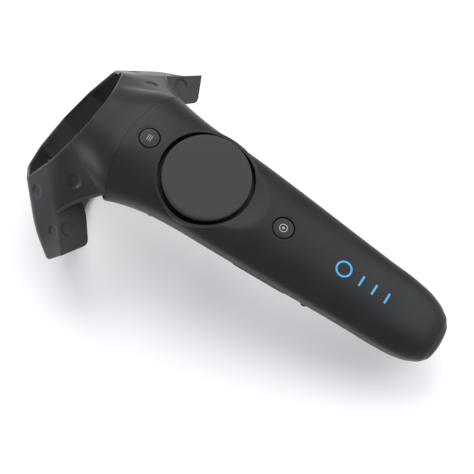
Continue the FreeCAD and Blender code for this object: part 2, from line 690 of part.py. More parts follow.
# ---- assembly -------------------------------------------------------------------------------
RING_COVER, RING_INNER = make_ring_covers()
GRIP = make_grip_button()
PY, PZ = PIVOT
NODES = {
    "handle_top_cover": make_top_cover(),
    "handle_bottom_cover": make_bottom_cover(),
    "handle_screws": make_handle_screws(),
    "ring_outer_cover": RING_COVER,
    "ring_inner_cover": RING_INNER,
    "ring_frame": make_ring_frame(),
    "ring_screws": make_ring_screws(),
    "tracking_sensors": Part.makeCompound(discs(SENSORS, SENSOR_RADIUS, SENSOR_DEPTH, 1.1)),
    "sensor_flex": make_sensor_flex(),
    "trackpad_disc": make_trackpad_disc(),
    "trackpad_board": cylinder(PAD_RADIUS - 1.6, (0, 0, -2.6), (0, 0, -1.5)),
    "trackpad_carrier": make_trackpad_carrier(),
    "trackpad_switch": switch(0, 0, BOARD_TOP, -8.9),
    "haptic_actuator": rounded_box(12.0, 9.0, 3.8, (0, 9.0, -6.4), 1.0),
    "menu_button": make_round_button(MENU_RADIUS, MENU_Y, -4.4),
    "menu_board": box(14.0, 10.0, 1.0, (0, MENU_Y, -8.4)),
    "menu_switch": switch(0, MENU_Y, -7.9, -5.0),
    "system_button": make_round_button(SYSTEM_RADIUS, SYSTEM_Y, -9.2),
    "system_switch": switch(0, SYSTEM_Y, BOARD_TOP, -9.8),
    "led_light_pipe": cylinder(LED_RADIUS, (0, LED_Y, -11.6), (0, LED_Y, 0.0)),
    "trigger": make_trigger(),
    "trigger_pin": cylinder(PIN_RADIUS, (-11.6, PY, PZ), (11.6, PY, PZ)),
    "trigger_spring": make_trigger_spring(),
    "trigger_magnet": cylinder(1.5, (0, -6.0, -31.2), (0, -6.0, -29.6)),
    "trigger_bracket": make_trigger_bracket(),
    "trigger_sensor": box(6.0, 5.0, 1.4, (0, -6.0, -16.9)),
    "trigger_click_switch": box(6.0, 3.4, 3.4, (0, 3.0, -17.9)),
    "grip_button_right": GRIP,
    "grip_button_left": mirrored(GRIP),
    "grip_switches": make_grip_switches(),
    "main_board": make_main_board(),
    "board_chips": make_board_chips(),
    "battery": rounded_box(BATTERY_WIDTH, BATTERY_Y[1] - BATTERY_Y[0], BATTERY_Z[1] - BATTERY_Z[0],
                           (0, sum(BATTERY_Y) / 2, sum(BATTERY_Z) / 2), 2.0),
    "battery_bracket": make_battery_bracket(),
    "usb_connector": make_usb_connector(),
    "usb_board": box(11.0, 13.0, 1.0, (0, -111.6, PORT_Z - 1.95)),
}

# rest pose: tilt about X, then lift so that the lowest point is z = 0 and centre the outline
TILT = FreeCAD.Placement(Vector(0, 0, 0), FreeCAD.Rotation(Vector(1, 0, 0), REST_TILT))
for shape in NODES.values():
    shape.Placement = TILT.multiply(shape.Placement)
whole = FreeCAD.BoundBox()
for shape in NODES.values():
    whole.add(shape.optimalBoundingBox(False, False))
SHIFT = Vector(-whole.Center.x, -whole.Center.y, -whole.ZMin)
for name, shape in NODES.items():
    shape.translate(SHIFT)
    shape.exportStep("parts/" + name + ".step")
print("overall size", whole.XLength, whole.YLength, whole.ZLength)
print("shift", SHIFT)
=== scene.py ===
import bpy
import math
import numpy as np
from mathutils import Matrix, Vector


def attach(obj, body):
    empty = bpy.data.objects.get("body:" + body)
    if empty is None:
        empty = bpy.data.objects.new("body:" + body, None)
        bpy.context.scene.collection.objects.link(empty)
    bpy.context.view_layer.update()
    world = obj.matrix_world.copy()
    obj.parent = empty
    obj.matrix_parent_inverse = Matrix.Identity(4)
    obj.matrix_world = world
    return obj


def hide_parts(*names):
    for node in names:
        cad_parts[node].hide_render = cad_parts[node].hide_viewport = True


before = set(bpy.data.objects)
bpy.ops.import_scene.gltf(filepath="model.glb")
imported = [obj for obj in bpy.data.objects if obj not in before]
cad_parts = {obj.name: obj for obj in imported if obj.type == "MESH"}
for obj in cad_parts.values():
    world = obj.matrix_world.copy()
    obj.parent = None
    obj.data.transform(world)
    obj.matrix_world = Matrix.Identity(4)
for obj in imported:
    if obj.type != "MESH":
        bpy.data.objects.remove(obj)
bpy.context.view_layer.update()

# ---- Floor, lamps and camera ----------------------------------------------------------------
# A pale sweep under soft studio lamps. The controller lies on it, nose up, on the lowest
# edge of its tracking ring and on its tail.
FLOOR_SIDE = 6.0
CAMERA_PLACE = (-0.15441680, -0.15702206, 0.42953684)
CAMERA_AXES = ((0.546015, 0.768616, -0.333313),
               (-0.830684, 0.445044, -0.334515),
               (-0.108775, 0.459528, 0.881477))
LENS_MM = 75.2
SENSOR_MM = 36.0
LAMPS = (
    # name, place, aimed at, side of the square, power
    ("key panel", (0.62, 0.42, 1.20), (0.0, 0.02, 0.04), 1.1, 9.5),
    ("tail panel", (0.75, -0.85, 1.00), (0.0, -0.05, 0.03), 1.1, 7.5),
    ("front panel", (-0.75, 1.25, 0.60), (0.0, 0.04, 0.04), 0.6, 5.0),
)


def floor_material():
    """White matt sweep: a faint noise on object coordinates varies its grey."""
    material = bpy.data.materials.new("studio sweep")
    material.use_nodes = True
    nodes, links = material.node_tree.nodes, material.node_tree.links
    shader = nodes["Principled BSDF"]
    place = nodes.new("ShaderNodeTexCoord")
    noise = nodes.new("ShaderNodeTexNoise")
    noise.inputs["Scale"].default_value = 3.0
    ramp = nodes.new("ShaderNodeValToRGB")
    ramp.color_ramp.elements[0].color = (0.90, 0.90, 0.90, 1)
    ramp.color_ramp.elements[1].color = (0.93, 0.93, 0.93, 1)
    shader.inputs["Roughness"].default_value = 0.6
    shader.inputs["Specular IOR Level"].default_value = 0.2
    links.new(place.outputs["Object"], noise.inputs["Vector"])
    links.new(noise.outputs["Fac"], ramp.inputs["Fac"])
    links.new(ramp.outputs["Color"], shader.inputs["Base Color"])
    return material


def studio_floor():
    """Square sheet in the plane z = 0, centred under the controller."""
    half = FLOOR_SIDE / 2
    mesh = bpy.data.meshes.new("floor")
    corners = [(-half, -half, 0), (half, -half, 0), (half, half, 0), (-half, half, 0)]
    mesh.from_pydata(corners, [], [(0, 1, 2, 3)])
    floor = bpy.data.objects.new("floor", mesh)
    bpy.context.collection.objects.link(floor)
    mesh.materials.append(floor_material())


def studio_lamp(name, place, target, side, power):
    """Square area lamp at place that faces target."""
    light = bpy.data.lights.new(name, "AREA")
    light.shape = "SQUARE"
    light.size = side
    light.energy = power
    lamp = bpy.data.objects.new(name, light)
    lamp.location = place
    aim = Vector(target) - Vector(place)
    lamp.rotation_euler = aim.to_track_quat("-Z", "Y").to_euler()
    bpy.context.collection.objects.link(lamp)


studio_floor()
for lamp_facts in LAMPS:
    studio_lamp(*lamp_facts)
sky = bpy.data.worlds.new("studio air")
sky.use_nodes = True
sky.node_tree.nodes["Background"].inputs["Color"].default_value = (0.93, 0.96, 1.0, 1)
sky.node_tree.nodes["Background"].inputs["Strength"].default_value = 0.85
bpy.context.scene.world = sky
bpy.context.scene.view_settings.view_transform = "Standard"
camera_data = bpy.data.cameras.new("camera")
camera_data.lens = LENS_MM
camera_data.sensor_width = SENSOR_MM
camera_data.clip_start = 0.01
camera = bpy.data.objects.new("camera", camera_data)
camera.matrix_world = (Matrix.Translation(CAMERA_PLACE)
                       @ Matrix(CAMERA_AXES).to_4x4())
bpy.context.collection.objects.link(camera)
bpy.context.scene.camera = camera


# ---- Circuit boards -------------------------------------------------------------------------
# Glass-epoxy boards under a green solder mask: the long main board, the touch board under
# the trackpad, the small menu board and the charging board. Etched copper lies in the mask.
def grained_material(name, dark, light, grain, roughness, spread=0.08,
                     metallic=0.0, bump=0.1, coat=0.0, specular=0.5):
    """Finish of a moulded, painted or drawn piece.

    A noise on object coordinates, grain cells to the metre, runs the colour from dark to
    light and the roughness by spread about its middle. The same noise, finer, is a bump.
    """
    material = bpy.data.materials.new(name)
    material.use_nodes = True
    nodes, links = material.node_tree.nodes, material.node_tree.links
    shader = nodes["Principled BSDF"]
    place = nodes.new("ShaderNodeTexCoord")
    cloud = nodes.new("ShaderNodeTexNoise")
    cloud.inputs["Scale"].default_value = grain
    cloud.inputs["Detail"].default_value = 4.0
    fine = nodes.new("ShaderNodeTexNoise")
    fine.inputs["Scale"].default_value = grain * 14
    fine.inputs["Detail"].default_value = 2.0
    ramp = nodes.new("ShaderNodeValToRGB")
    ramp.color_ramp.elements[0].position = 0.3
    ramp.color_ramp.elements[0].color = (*dark, 1)
    ramp.color_ramp.elements[1].position = 0.7
    ramp.color_ramp.elements[1].color = (*light, 1)
    gloss = nodes.new("ShaderNodeMapRange")
    gloss.inputs["From Min"].default_value = 0.3
    gloss.inputs["From Max"].default_value = 0.7
    gloss.inputs["To Min"].default_value = roughness - spread
    gloss.inputs["To Max"].default_value = roughness + spread
    relief = nodes.new("ShaderNodeBump")
    relief.inputs["Strength"].default_value = bump
    relief.inputs["Distance"].default_value = 0.00005
    shader.inputs["Metallic"].default_value = metallic
    shader.inputs["Coat Weight"].default_value = coat
    shader.inputs["Specular IOR Level"].default_value = specular
    links.new(place.outputs["Object"], cloud.inputs["Vector"])
    links.new(place.outputs["Object"], fine.inputs["Vector"])
    links.new(cloud.outputs["Fac"], ramp.inputs["Fac"])
    links.new(cloud.outputs["Fac"], gloss.inputs["Value"])
    links.new(ramp.outputs["Color"], shader.inputs["Base Color"])
    links.new(gloss.outputs["Result"], shader.inputs["Roughness"])
    links.new(fine.outputs["Fac"], relief.inputs["Height"])
    links.new(relief.outputs["Normal"], shader.inputs["Normal"])
    return material


def finish_nodes(material, *names):
    """Puts a material on every slot of the named pieces."""
    for name in names:
        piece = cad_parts[name]
        if not piece.material_slots:
            piece.data.materials.append(material)
        for place in piece.material_slots:
            place.material = material


def board_material():
    """Green solder mask over copper.

    A brick pattern on object coordinates stands for the etched tracks: where its mortar
    lies the mask is paler, and a noise varies the green between them.
    """
    material = grained_material("solder mask", (0.010, 0.075, 0.035), (0.016, 0.105, 0.05),
                                260.0, 0.34, spread=0.05, coat=0.3)
    nodes, links = material.node_tree.nodes, material.node_tree.links
    tracks = nodes.new("ShaderNodeTexBrick")
    tracks.inputs["Scale"].default_value = 320.0
    tracks.inputs["Mortar Size"].default_value = 0.03
    tracks.inputs["Color1"].default_value = (0, 0, 0, 1)
    tracks.inputs["Color2"].default_value = (0, 0, 0, 1)
    tracks.inputs["Mortar"].default_value = (1, 1, 1, 1)
    copper = nodes.new("ShaderNodeMix")
    copper.data_type = "RGBA"
    copper.inputs["B"].default_value = (0.05, 0.20, 0.10, 1)
    links.new(nodes["Texture Coordinate"].outputs["Object"], tracks.inputs["Vector"])
    links.new(tracks.outputs["Color"], copper.inputs["Factor"])
    links.new(nodes["Color Ramp"].outputs["Color"], copper.inputs["A"])
    links.new(copper.outputs["Result"], nodes["Principled BSDF"].inputs["Base Color"])
    return material


SOLDER_MASK = board_material()
finish_nodes(SOLDER_MASK, "main_board", "trackpad_board", "menu_board", "usb_board")

# ---- Chips, magnet sensor and click switch --------------------------------------------------
# Black moulded packages soldered to the boards, and the microswitch that the trigger reaches
# at the end of its pull.
finish_nodes(grained_material("moulded package", (0.012, 0.012, 0.013), (0.022, 0.022, 0.024),
                              900.0, 0.55), "board_chips", "trigger_sensor",
             "trigger_click_switch")

# ---- Tactile switches, charging socket and hinge steel --------------------------------------
# Bright stamped and drawn steel: the dome switches under the keys, the socket's shell, the
# trigger's hinge pin and its return spring.
finish_nodes(grained_material("stamped steel", (0.42, 0.42, 0.43), (0.58, 0.58, 0.59), 500.0,
                              0.3, metallic=1.0, bump=0.2),
             "trackpad_switch", "menu_switch", "system_switch", "grip_switches",
             "usb_connector", "trigger_pin", "trigger_spring", "trigger_magnet",
             "haptic_actuator")

# ---- Screws ---------------------------------------------------------------------------------
# Six long screws hold the handle's two covers together and six short ones hold the ring.
# They are steel with a black zinc finish.
finish_nodes(grained_material("black zinc", (0.03, 0.03, 0.033), (0.07, 0.07, 0.075), 700.0,
                              0.38, metallic=0.8, bump=0.2), "handle_screws", "ring_screws")

# ---- Sensor flex ----------------------------------------------------------------------------
# A strip of amber polyimide film that runs round the ring and joins its light sensors.
finish_nodes(grained_material("polyimide film", (0.30, 0.11, 0.012), (0.46, 0.19, 0.025), 400.0,
                              0.3, coat=0.3), "sensor_flex")

# ---- Structural mouldings -------------------------------------------------------------------
# Glass-filled nylon pieces that nobody sees in use: the ring's hoop, the trackpad's carrier,
# the trigger's cradle and the bracket over the cell.
finish_nodes(grained_material("glass-filled nylon", (0.030, 0.030, 0.033), (0.060, 0.060, 0.064),
                              1200.0, 0.6, bump=0.3), "ring_frame", "trackpad_carrier",
             "trigger_bracket", "battery_bracket")

# ---- Cell -----------------------------------------------------------------------------------
# A laminated lithium pouch, flat and silvery, under the bracket in the grip.
finish_nodes(grained_material("pouch foil", (0.40, 0.41, 0.43), (0.56, 0.57, 0.59), 160.0,
                              0.36, metallic=0.9, bump=0.3), "battery")

# ---- Status light ---------------------------------------------------------------------------
# A thin clear pipe that brings the board's light up to a dot behind the system key.
finish_nodes(grained_material("light pipe", (0.10, 0.11, 0.105), (0.16, 0.17, 0.165), 2500.0,
                              0.25, bump=0.0), "led_light_pipe")

# ---- Tracking ring: outer cover -------------------------------------------------------------
# One soft-touch moulding: the rim, the faceted sides with their two wings, and the deck that
# sweeps back to the seam across the handle. It is clipped and screwed to the inner cover, and
# shallow round dimples mark where the light sensors look out.
REST_TILT = math.radians(17.0)
REST_LIFT = (0.0, 7.0787832629425935, 68.92454188575313)
RING_LEAN = math.radians(24.8)
RING_NEAR = np.array([0.0, 57.1, -7.9])
RING_AXIS = np.array([0.0, math.cos(RING_LEAN), math.sin(RING_LEAN)])
RING_DOWN = np.array([0.0, math.sin(RING_LEAN), -math.cos(RING_LEAN)])
RIM_CORNERS = ((10.5, -0.4), (27.0, 13.0), (34.8, 35.5), (25.2, 54.8), (10.0, 65.6))
WAIST_CORNERS = ((14.0, -18.4), (38.8, 9.0), (51.5, 34.5), (36.5, 58.5), (12.5, 72.0))
SKIRT_CORNERS = ((20.0, -27.0), (55.8, 12.0), (58.6, 34.0), (42.0, 61.0), (15.0, 77.0))
HOLE_CORNERS = ((11.0, -2.5), (29.5, 12.0), (37.0, 35.5), (27.0, 56.0), (10.8, 67.2))
REAR_CORNERS = ((15.0, -18.0), (44.8, 12.0), (48.2, 34.0), (34.5, 56.0), (13.0, 70.5))
CORNER_RADII = (20.0, 15.0, 6.0, 6.0, 7.0)
WAIST_DEPTH, SKIRT_DEPTH, HOLE_DEPTH, REAR_DEPTH = 18.0, 31.0, 25.6, 37.0
RIM_LAND, REAR_LAND = 1.3, 2.2
SHELF_U = 17.5
ARC_STEPS, SIDE_STEPS = 12, 26
HANDLE_STATIONS = np.array([
    # y, half width, crown, keel, belt
    (-123.2, 3.0, -10.6, -15.4, -12.6), (-122.6, 6.2, -8.6, -17.4, -12.0),
    (-120.6, 10.0, -6.0, -20.2, -11.0), (-116.6, 13.2, -3.8, -22.8, -9.8),
    (-110.0, 15.8, -2.3, -24.8, -8.6), (-101.0, 17.2, -1.3, -26.0, -7.8),
    (-86.0, 18.0, -0.7, -27.0, -7.5), (-68.0, 19.2, -0.3, -27.8, -7.5),
    (-50.0, 20.5, 0.0, -28.6, -7.5), (-32.0, 21.7, 0.2, -29.6, -7.5),
    (-14.0, 22.7, 0.4, -31.0, -7.6), (2.0, 23.4, 0.4, -32.4, -8.4),
    (16.0, 24.8, 0.3, -33.0, -10.5), (27.0, 27.4, -0.1, -31.6, -14.0),
    (36.0, 30.6, -0.8, -27.0, -18.0), (44.0, 33.6, -2.0, -22.0, -20.0)])
ROUNDNESS = 2.3
SEAM_Z = -12.5
SEAM_ARC_RADIUS, SEAM_ARC_Y = 63.6, -24.1


def at_rest(points):
    """Turns points drawn about the trackpad's centre, in mm, nose-up by the rest tilt, lifts
    them onto the table and gives metres."""
    x, y, z = points[..., 0], points[..., 1], points[..., 2]
    c, s = math.cos(REST_TILT), math.sin(REST_TILT)
    placed = np.stack([x, c * y - s * z, s * y + c * z], -1)
    return (placed + np.array(REST_LIFT)) / 1000


def ring_place(flat, depth):
    """Places (x, u) points of the ring: x sideways, u down from its near edge, and depth
    behind the plane of its rim."""
    depth = np.asarray(depth)[..., None]
    return (RING_NEAR + flat[..., :1] * np.array([1.0, 0, 0])
            + flat[..., 1:] * RING_DOWN - depth * RING_AXIS)


def half_loop(corners, inset=0.0):
    """Right half of a rounded polygon round the hole, from x = 0 at the near side to x = 0
    at the far side: straight sides joined by tangent arcs, with one sample at the shelf."""
    points = np.array(list(corners) + [(-x, u) for x, u in corners[::-1]])
    before, after = np.roll(points, 1, 0), np.roll(points, -1, 0)
    first = (points - before) / np.linalg.norm(points - before, axis=1)[:, None]
    second = (after - points) / np.linalg.norm(after - points, axis=1)[:, None]
    n1 = np.stack([-first[:, 1], first[:, 0]], 1)
    n2 = np.stack([-second[:, 1], second[:, 0]], 1)
    bend = (n1 * n2).sum(1)
    points = points + (n1 + n2) * (inset / (1 + bend))[:, None]
    runs = []
    last = np.array([0.0, points[0, 1]])
    sweep = np.linspace(0, 1, ARC_STEPS + 1)[:, None]
    line = np.linspace(0, 1, SIDE_STEPS + 1)[:, None]
    for i, radius in enumerate(CORNER_RADII):
        half = (math.pi - math.acos(np.clip(bend[i], -1, 1))) / 2
        reach = radius / math.tan(half)
        start, end = points[i] - first[i] * reach, points[i] + second[i] * reach
        centre = start + n1[i] * radius
        a, b = start - centre, end - centre
        turn = math.acos(np.clip(a @ b / radius ** 2, -1, 1))
        arc = centre + (np.sin((1 - sweep) * turn) * a + np.sin(sweep * turn) * b) / math.sin(turn)
        if i == 2:
            share = (SHELF_U - last[1]) / (start[1] - last[1])
            shelf = last + (start - last) * share
            runs += [last + (shelf - last) * line[:-1]]
            last = shelf
        runs += [last + (start - last) * line[:-1], arc[:-1]]
        last = end
    runs += [last + (np.array([0.0, last[1]]) - last) * line]
    return np.concatenate(runs)


SHELF_COLUMN = 2 * (ARC_STEPS + SIDE_STEPS) + SIDE_STEPS


def handle_lines(y):
    """Half width, crown, keel and belt height at stations y: a cubic through the table."""
    table_y = HANDLE_STATIONS[:, 0]
    slopes = np.gradient(HANDLE_STATIONS[:, 1:], table_y, axis=0)
    cell = np.clip(np.searchsorted(table_y, y) - 1, 0, len(table_y) - 2)
    span = (table_y[cell + 1] - table_y[cell])
    t = np.clip((y - table_y[cell]) / span, 0, 1)[..., None]
    p0, p1 = HANDLE_STATIONS[cell, 1:], HANDLE_STATIONS[cell + 1, 1:]
    m0, m1 = slopes[cell] * span[..., None], slopes[cell + 1] * span[..., None]
    lines = ((2 * t ** 3 - 3 * t ** 2 + 1) * p0 + (t ** 3 - 2 * t ** 2 + t) * m0
             + (3 * t ** 2 - 2 * t ** 3) * p1 + (t ** 3 - t ** 2) * m1)
    return np.moveaxis(lines, -1, 0)


def handle_surface(angle, y):
    """Point of the handle at an angle round its belt line: a superellipse section with its
    own upper and lower heights. Angle 0 is the right side and a quarter turn is the crown."""
    half_width, crown, keel, belt = handle_lines(y)
    c, s = np.cos(angle), np.sin(angle)
    scale = (np.abs(c) ** ROUNDNESS + np.abs(s) ** ROUNDNESS) ** (-1 / ROUNDNESS)
    height = np.where(s > 0, crown - belt, belt - keel)
    return np.stack([half_width * c * scale, y + 0 * c, belt + height * s * scale], -1)


def seam_angle(y):
    """Angle on the right side where the section crosses the seam between the covers."""
    _, crown, keel, belt = handle_lines(y)
    rise = (SEAM_Z - belt) / np.where(SEAM_Z > belt, crown - belt, belt - keel)
    rise = np.clip(rise, -0.98, 0.98)
    run = (1 - np.abs(rise) ** ROUNDNESS) ** (1 / ROUNDNESS)
    return np.arctan2(rise, run)


def arc_y(x):
    """The seam across the handle: a circle seen from above."""
    return SEAM_ARC_Y + np.sqrt(SEAM_ARC_RADIUS ** 2 - x ** 2)


def to_seam_arc(share):
    """Handle points on the seam arc, share 0 at the crown and 1 at the side seam, and the
    handle's own direction towards the tail there."""
    y = np.full_like(share, 36.0)
    for _ in range(12):
        angle = math.pi / 2 + (seam_angle(y) - math.pi / 2) * share
        y = arc_y(handle_surface(angle, y)[..., 0])
    here = handle_surface(angle, y)
    tailward = handle_surface(angle, y - 0.5) - here
    return here, tailward / np.linalg.norm(tailward, axis=-1)[..., None]


def along_length(points, values, shares):
    """Values at shares of the length of a polyline of points."""
    steps = np.linalg.norm(np.diff(points, axis=0), axis=1)
    length = np.concatenate([[0], np.cumsum(steps)]) / steps.sum()
    return np.stack([np.interp(shares, length, column) for column in values.T], -1)


def deck_edge(shares):
    """The deck's rear edge, from the crown of the handle to the top of the wing's shelf, and
    the direction in which the deck leaves it: the seam arc, then a concave cubic curve."""
    arc, tailward = to_seam_arc(np.linspace(0, 1, 160))
    top = ring_place(half_loop(WAIST_CORNERS)[SHELF_COLUMN], WAIST_DEPTH)
    t = np.linspace(0, 1, 161)[1:, None]
    seam_end = arc[-1]
    c1 = seam_end + np.array([3.9, 5.8, -6.2])
    c2 = top + np.array([-6.0, -3.6, 6.4])
    sweep = ((1 - t) ** 3 * seam_end + 3 * t * (1 - t) ** 2 * c1
             + 3 * t ** 2 * (1 - t) * c2 + t ** 3 * top)
    rim = ring_place(half_loop(RIM_CORNERS)[SHELF_COLUMN], 0.0)
    facet = (top - rim) / np.linalg.norm(top - rim)
    fade = t ** 0.8
    turned = tailward[-1] * (1 - fade) + facet * fade
    turned /= np.linalg.norm(turned, axis=1)[:, None]
    edge, ways = np.concatenate([arc, sweep]), np.concatenate([tailward, turned])
    return along_length(edge, edge, shares), along_length(edge, ways, shares)


def whole_loop(half):
    """Both sides of the ring from its right half: the left half mirrors it."""
    left = half[..., -2:0:-1, :] * np.array([-1.0, 1, 1])
    return np.concatenate([half, left], axis=-2)


def soft_bend(depth, bend_depth, reach):
    """Extra share of a change of slope near a bend, so that two straight runs meet in a
    parabola: the square of the distance left within reach, over four times reach."""
    left = np.clip(reach - np.abs(depth - bend_depth), 0, None)
    return left ** 2 / (4 * reach)


def ring_flank(depth):
    """Right half of the ring's outer face behind the rim at depths down to the skirt: two
    straight runs, rim to waist and waist to skirt, joined by a soft bend."""
    rim, waist, skirt = (half_loop(c) for c in (RIM_CORNERS, WAIST_CORNERS, SKIRT_CORNERS))
    first = (waist - rim) / WAIST_DEPTH
    second = (skirt - waist) / (SKIRT_DEPTH - WAIST_DEPTH)
    d = np.asarray(depth)[:, None, None]
    flat = np.where(d < WAIST_DEPTH, rim + first * d, waist + second * (d - WAIST_DEPTH))
    flat = flat + (second - first) * soft_bend(d, WAIST_DEPTH, 5.0)
    return ring_place(flat, np.broadcast_to(depth[:, None], flat.shape[:2]))


def cubic_rows(start, start_way, end, end_way, shares):
    """Rows of cubic curves from start to end that leave and arrive along given ways, each
    as strong as the straight distance."""
    t = shares[:, None, None]
    reach = np.linalg.norm(end - start, axis=-1)[:, None]
    return ((2 * t ** 3 - 3 * t ** 2 + 1) * start + (t ** 3 - 2 * t ** 2 + t) * start_way * reach
            + (3 * t ** 2 - 2 * t ** 3) * end + (t ** 3 - t ** 2) * end_way * reach)


def facet_point(loops, side, across, along):
    """Point and outward normal on the facet between two loops, across from its near corner
    and along from front to rear."""
    (front, d0), (rear, d1) = loops
    front = list(front) + [(-front[-1][0], front[-1][1])]
    rear = list(rear) + [(-rear[-1][0], rear[-1][1])]
    a, b = (ring_place(np.array(front[side + k]), d0) for k in (0, 1))
    c, d = (ring_place(np.array(rear[side + k]), d1) for k in (0, 1))
    top, bottom = a + (b - a) * across, c + (d - c) * across
    normal = np.cross(bottom - top, b - a + d - c)
    if loops is BORE_BAND:
        normal = -normal
    return top + (bottom - top) * along, normal / np.linalg.norm(normal)


FRONT_BAND = ((RIM_CORNERS, 0.0), (WAIST_CORNERS, WAIST_DEPTH))
SIDE_BAND = ((WAIST_CORNERS, WAIST_DEPTH), (SKIRT_CORNERS, SKIRT_DEPTH))
REAR_BAND = ((SKIRT_CORNERS, SKIRT_DEPTH), (REAR_CORNERS, REAR_DEPTH))
BORE_BAND = ((RIM_CORNERS, 0.0), (HOLE_CORNERS, HOLE_DEPTH))
SENSOR_FACETS = (
    (FRONT_BAND, 0, 0.78, 0.66), (FRONT_BAND, 1, 0.72, 0.36), (SIDE_BAND, 1, 0.50, 0.34),
    (FRONT_BAND, 2, 0.50, 0.70), (SIDE_BAND, 3, 0.30, 0.45), (REAR_BAND, 2, 0.42, 0.50),
    (REAR_BAND, 3, 0.50, 0.50), (BORE_BAND, 1, 0.30, 0.42), (BORE_BAND, 2, 0.50, 0.78),
    (BORE_BAND, 3, 0.50, 0.78))
DIMPLE_RADIUS, DIMPLE_EDGE, DIMPLE_DEPTH = 3.3, 0.8, 0.42
DIMPLE_REACH, DIMPLE_FACING = 4.5, 0.75
MERGE_STEP = 0.004


def turned_edge(before, corner, after, steps=6):
    """Rows round an edge: a quadratic curve from before to after drawn towards corner."""
    t = np.linspace(0, 1, steps + 1)[1:, None, None]
    return (1 - t) ** 2 * before + 2 * t * (1 - t) * corner + t ** 2 * after


def dimple_places():
    """Centre and outward normal of every sensor's dimple."""
    places = [facet_point(*facts) for facts in SENSOR_FACETS]
    places.append((ring_place(np.array([45.0, SHELF_U]), 26.0), -RING_DOWN))
    flip = np.array([-1.0, 1, 1])
    places += [(point * flip, normal * flip) for point, normal in places]
    places += [facet_point(SIDE_BAND, 4, 0.5, 0.55), facet_point(BORE_BAND, 4, 0.5, 0.78)]
    return places


def dimpled(points, outward):
    """Points moved against their outward normals inside each dimple: a flat floor with a
    smooth step round its edge."""
    for centre, normal in dimple_places():
        away = points - centre
        height = away @ normal
        radius = np.linalg.norm(away - height[..., None] * normal, axis=-1)
        step = np.clip((DIMPLE_RADIUS - radius) / DIMPLE_EDGE, 0, 1)
        faces_it = (np.abs(height) < DIMPLE_REACH) & (np.abs(outward @ normal) > DIMPLE_FACING)
        step = step * step * (3 - 2 * step) * faces_it
        points = points - outward * (DIMPLE_DEPTH * step)[..., None]
    return points


def grid_normals(points, closed=False):
    """Unit normals of a grid: the row direction crossed with the column direction."""
    down = np.gradient(points, axis=0)
    if closed:
        across = np.roll(points, -1, 1) - np.roll(points, 1, 1)
    else:
        across = np.gradient(points, axis=1)
    normals = np.cross(down, across)
    return normals / np.maximum(np.linalg.norm(normals, axis=-1), 1e-9)[..., None]


def grid_faces(rows, columns, closed=False, first=0):
    """Quads between neighbouring rows and columns, wound as grid_normals points."""
    index = first + np.arange(rows * columns).reshape(rows, columns)
    if closed:
        index = np.concatenate([index, index[:, :1]], 1)
    corners = (index[:-1, :-1], index[1:, :-1], index[1:, 1:], index[:-1, 1:])
    return np.stack([corner.ravel() for corner in corners], 1)


def surface_piece(name, patches, material, body, nodes, wall=0.0, edge=0.0):
    """Makes one piece of patches, each a grid of points and its faces. Points that meet are
    merged. A wall is grown inwards from the surface and edges over 40 degrees are rounded."""
    points, faces, count = [], [], 0
    for grid, quads in patches:
        points.append(grid.reshape(-1, 3))
        faces.append(quads + count)
        count += points[-1].shape[0]
    points, faces = np.concatenate(points), np.concatenate(faces)
    _, first, back = np.unique(np.round(points / MERGE_STEP).astype(np.int64), axis=0,
                               return_index=True, return_inverse=True)
    faces = back.reshape(-1)[faces]
    quads = [tuple(dict.fromkeys(face)) for face in faces.tolist()]
    quads = [face for face in quads if len(face) > 2]
    mesh = bpy.data.meshes.new(name)
    mesh.from_pydata(at_rest(points[first]).tolist(), [], quads)
    mesh.validate()
    mesh.shade_smooth()
    piece = bpy.data.objects.new(name, mesh)
    bpy.context.collection.objects.link(piece)
    mesh.materials.append(material)
    if wall:
        solid = piece.modifiers.new("wall", "SOLIDIFY")
        solid.thickness = wall / 1000
        solid.offset = -1.0
        solid.use_even_offset = False
    if edge:
        bevel = piece.modifiers.new("edge", "BEVEL")
        bevel.width = edge / 1000
        bevel.segments = 2
        bevel.limit_method = "ANGLE"
        bevel.angle_limit = math.radians(40)
        bevel.harden_normals = True
    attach(piece, body)
    if nodes:
        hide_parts(*nodes)
    return piece


SOFT_TOUCH = grained_material("soft-touch black", (0.0038, 0.0040, 0.0044),
                              (0.0060, 0.0063, 0.0068), 60.0, 0.38, spread=0.05, bump=0.15,
                              specular=0.28)
RIM_ROWS = ((1.35, 1.5), (1.30, 0.85), (1.08, 0.36), (0.70, 0.07), (0.30, 0.06))
UPPER_ROWS, LOWER_ROWS = 40, 24
TURN_SHARE = 0.14


def skirt_and_rear():
    """Right halves of the skirt's edge and of the rear face's inner edge."""
    return (ring_place(half_loop(SKIRT_CORNERS), SKIRT_DEPTH),
            ring_place(half_loop(REAR_CORNERS), REAR_DEPTH))


def both_wings(rows):
    """Rows that start at the right wing's shelf, carried round to the left wing's."""
    return np.concatenate([rows, rows[:, -2::-1] * np.array([-1.0, 1, 1])], 1)


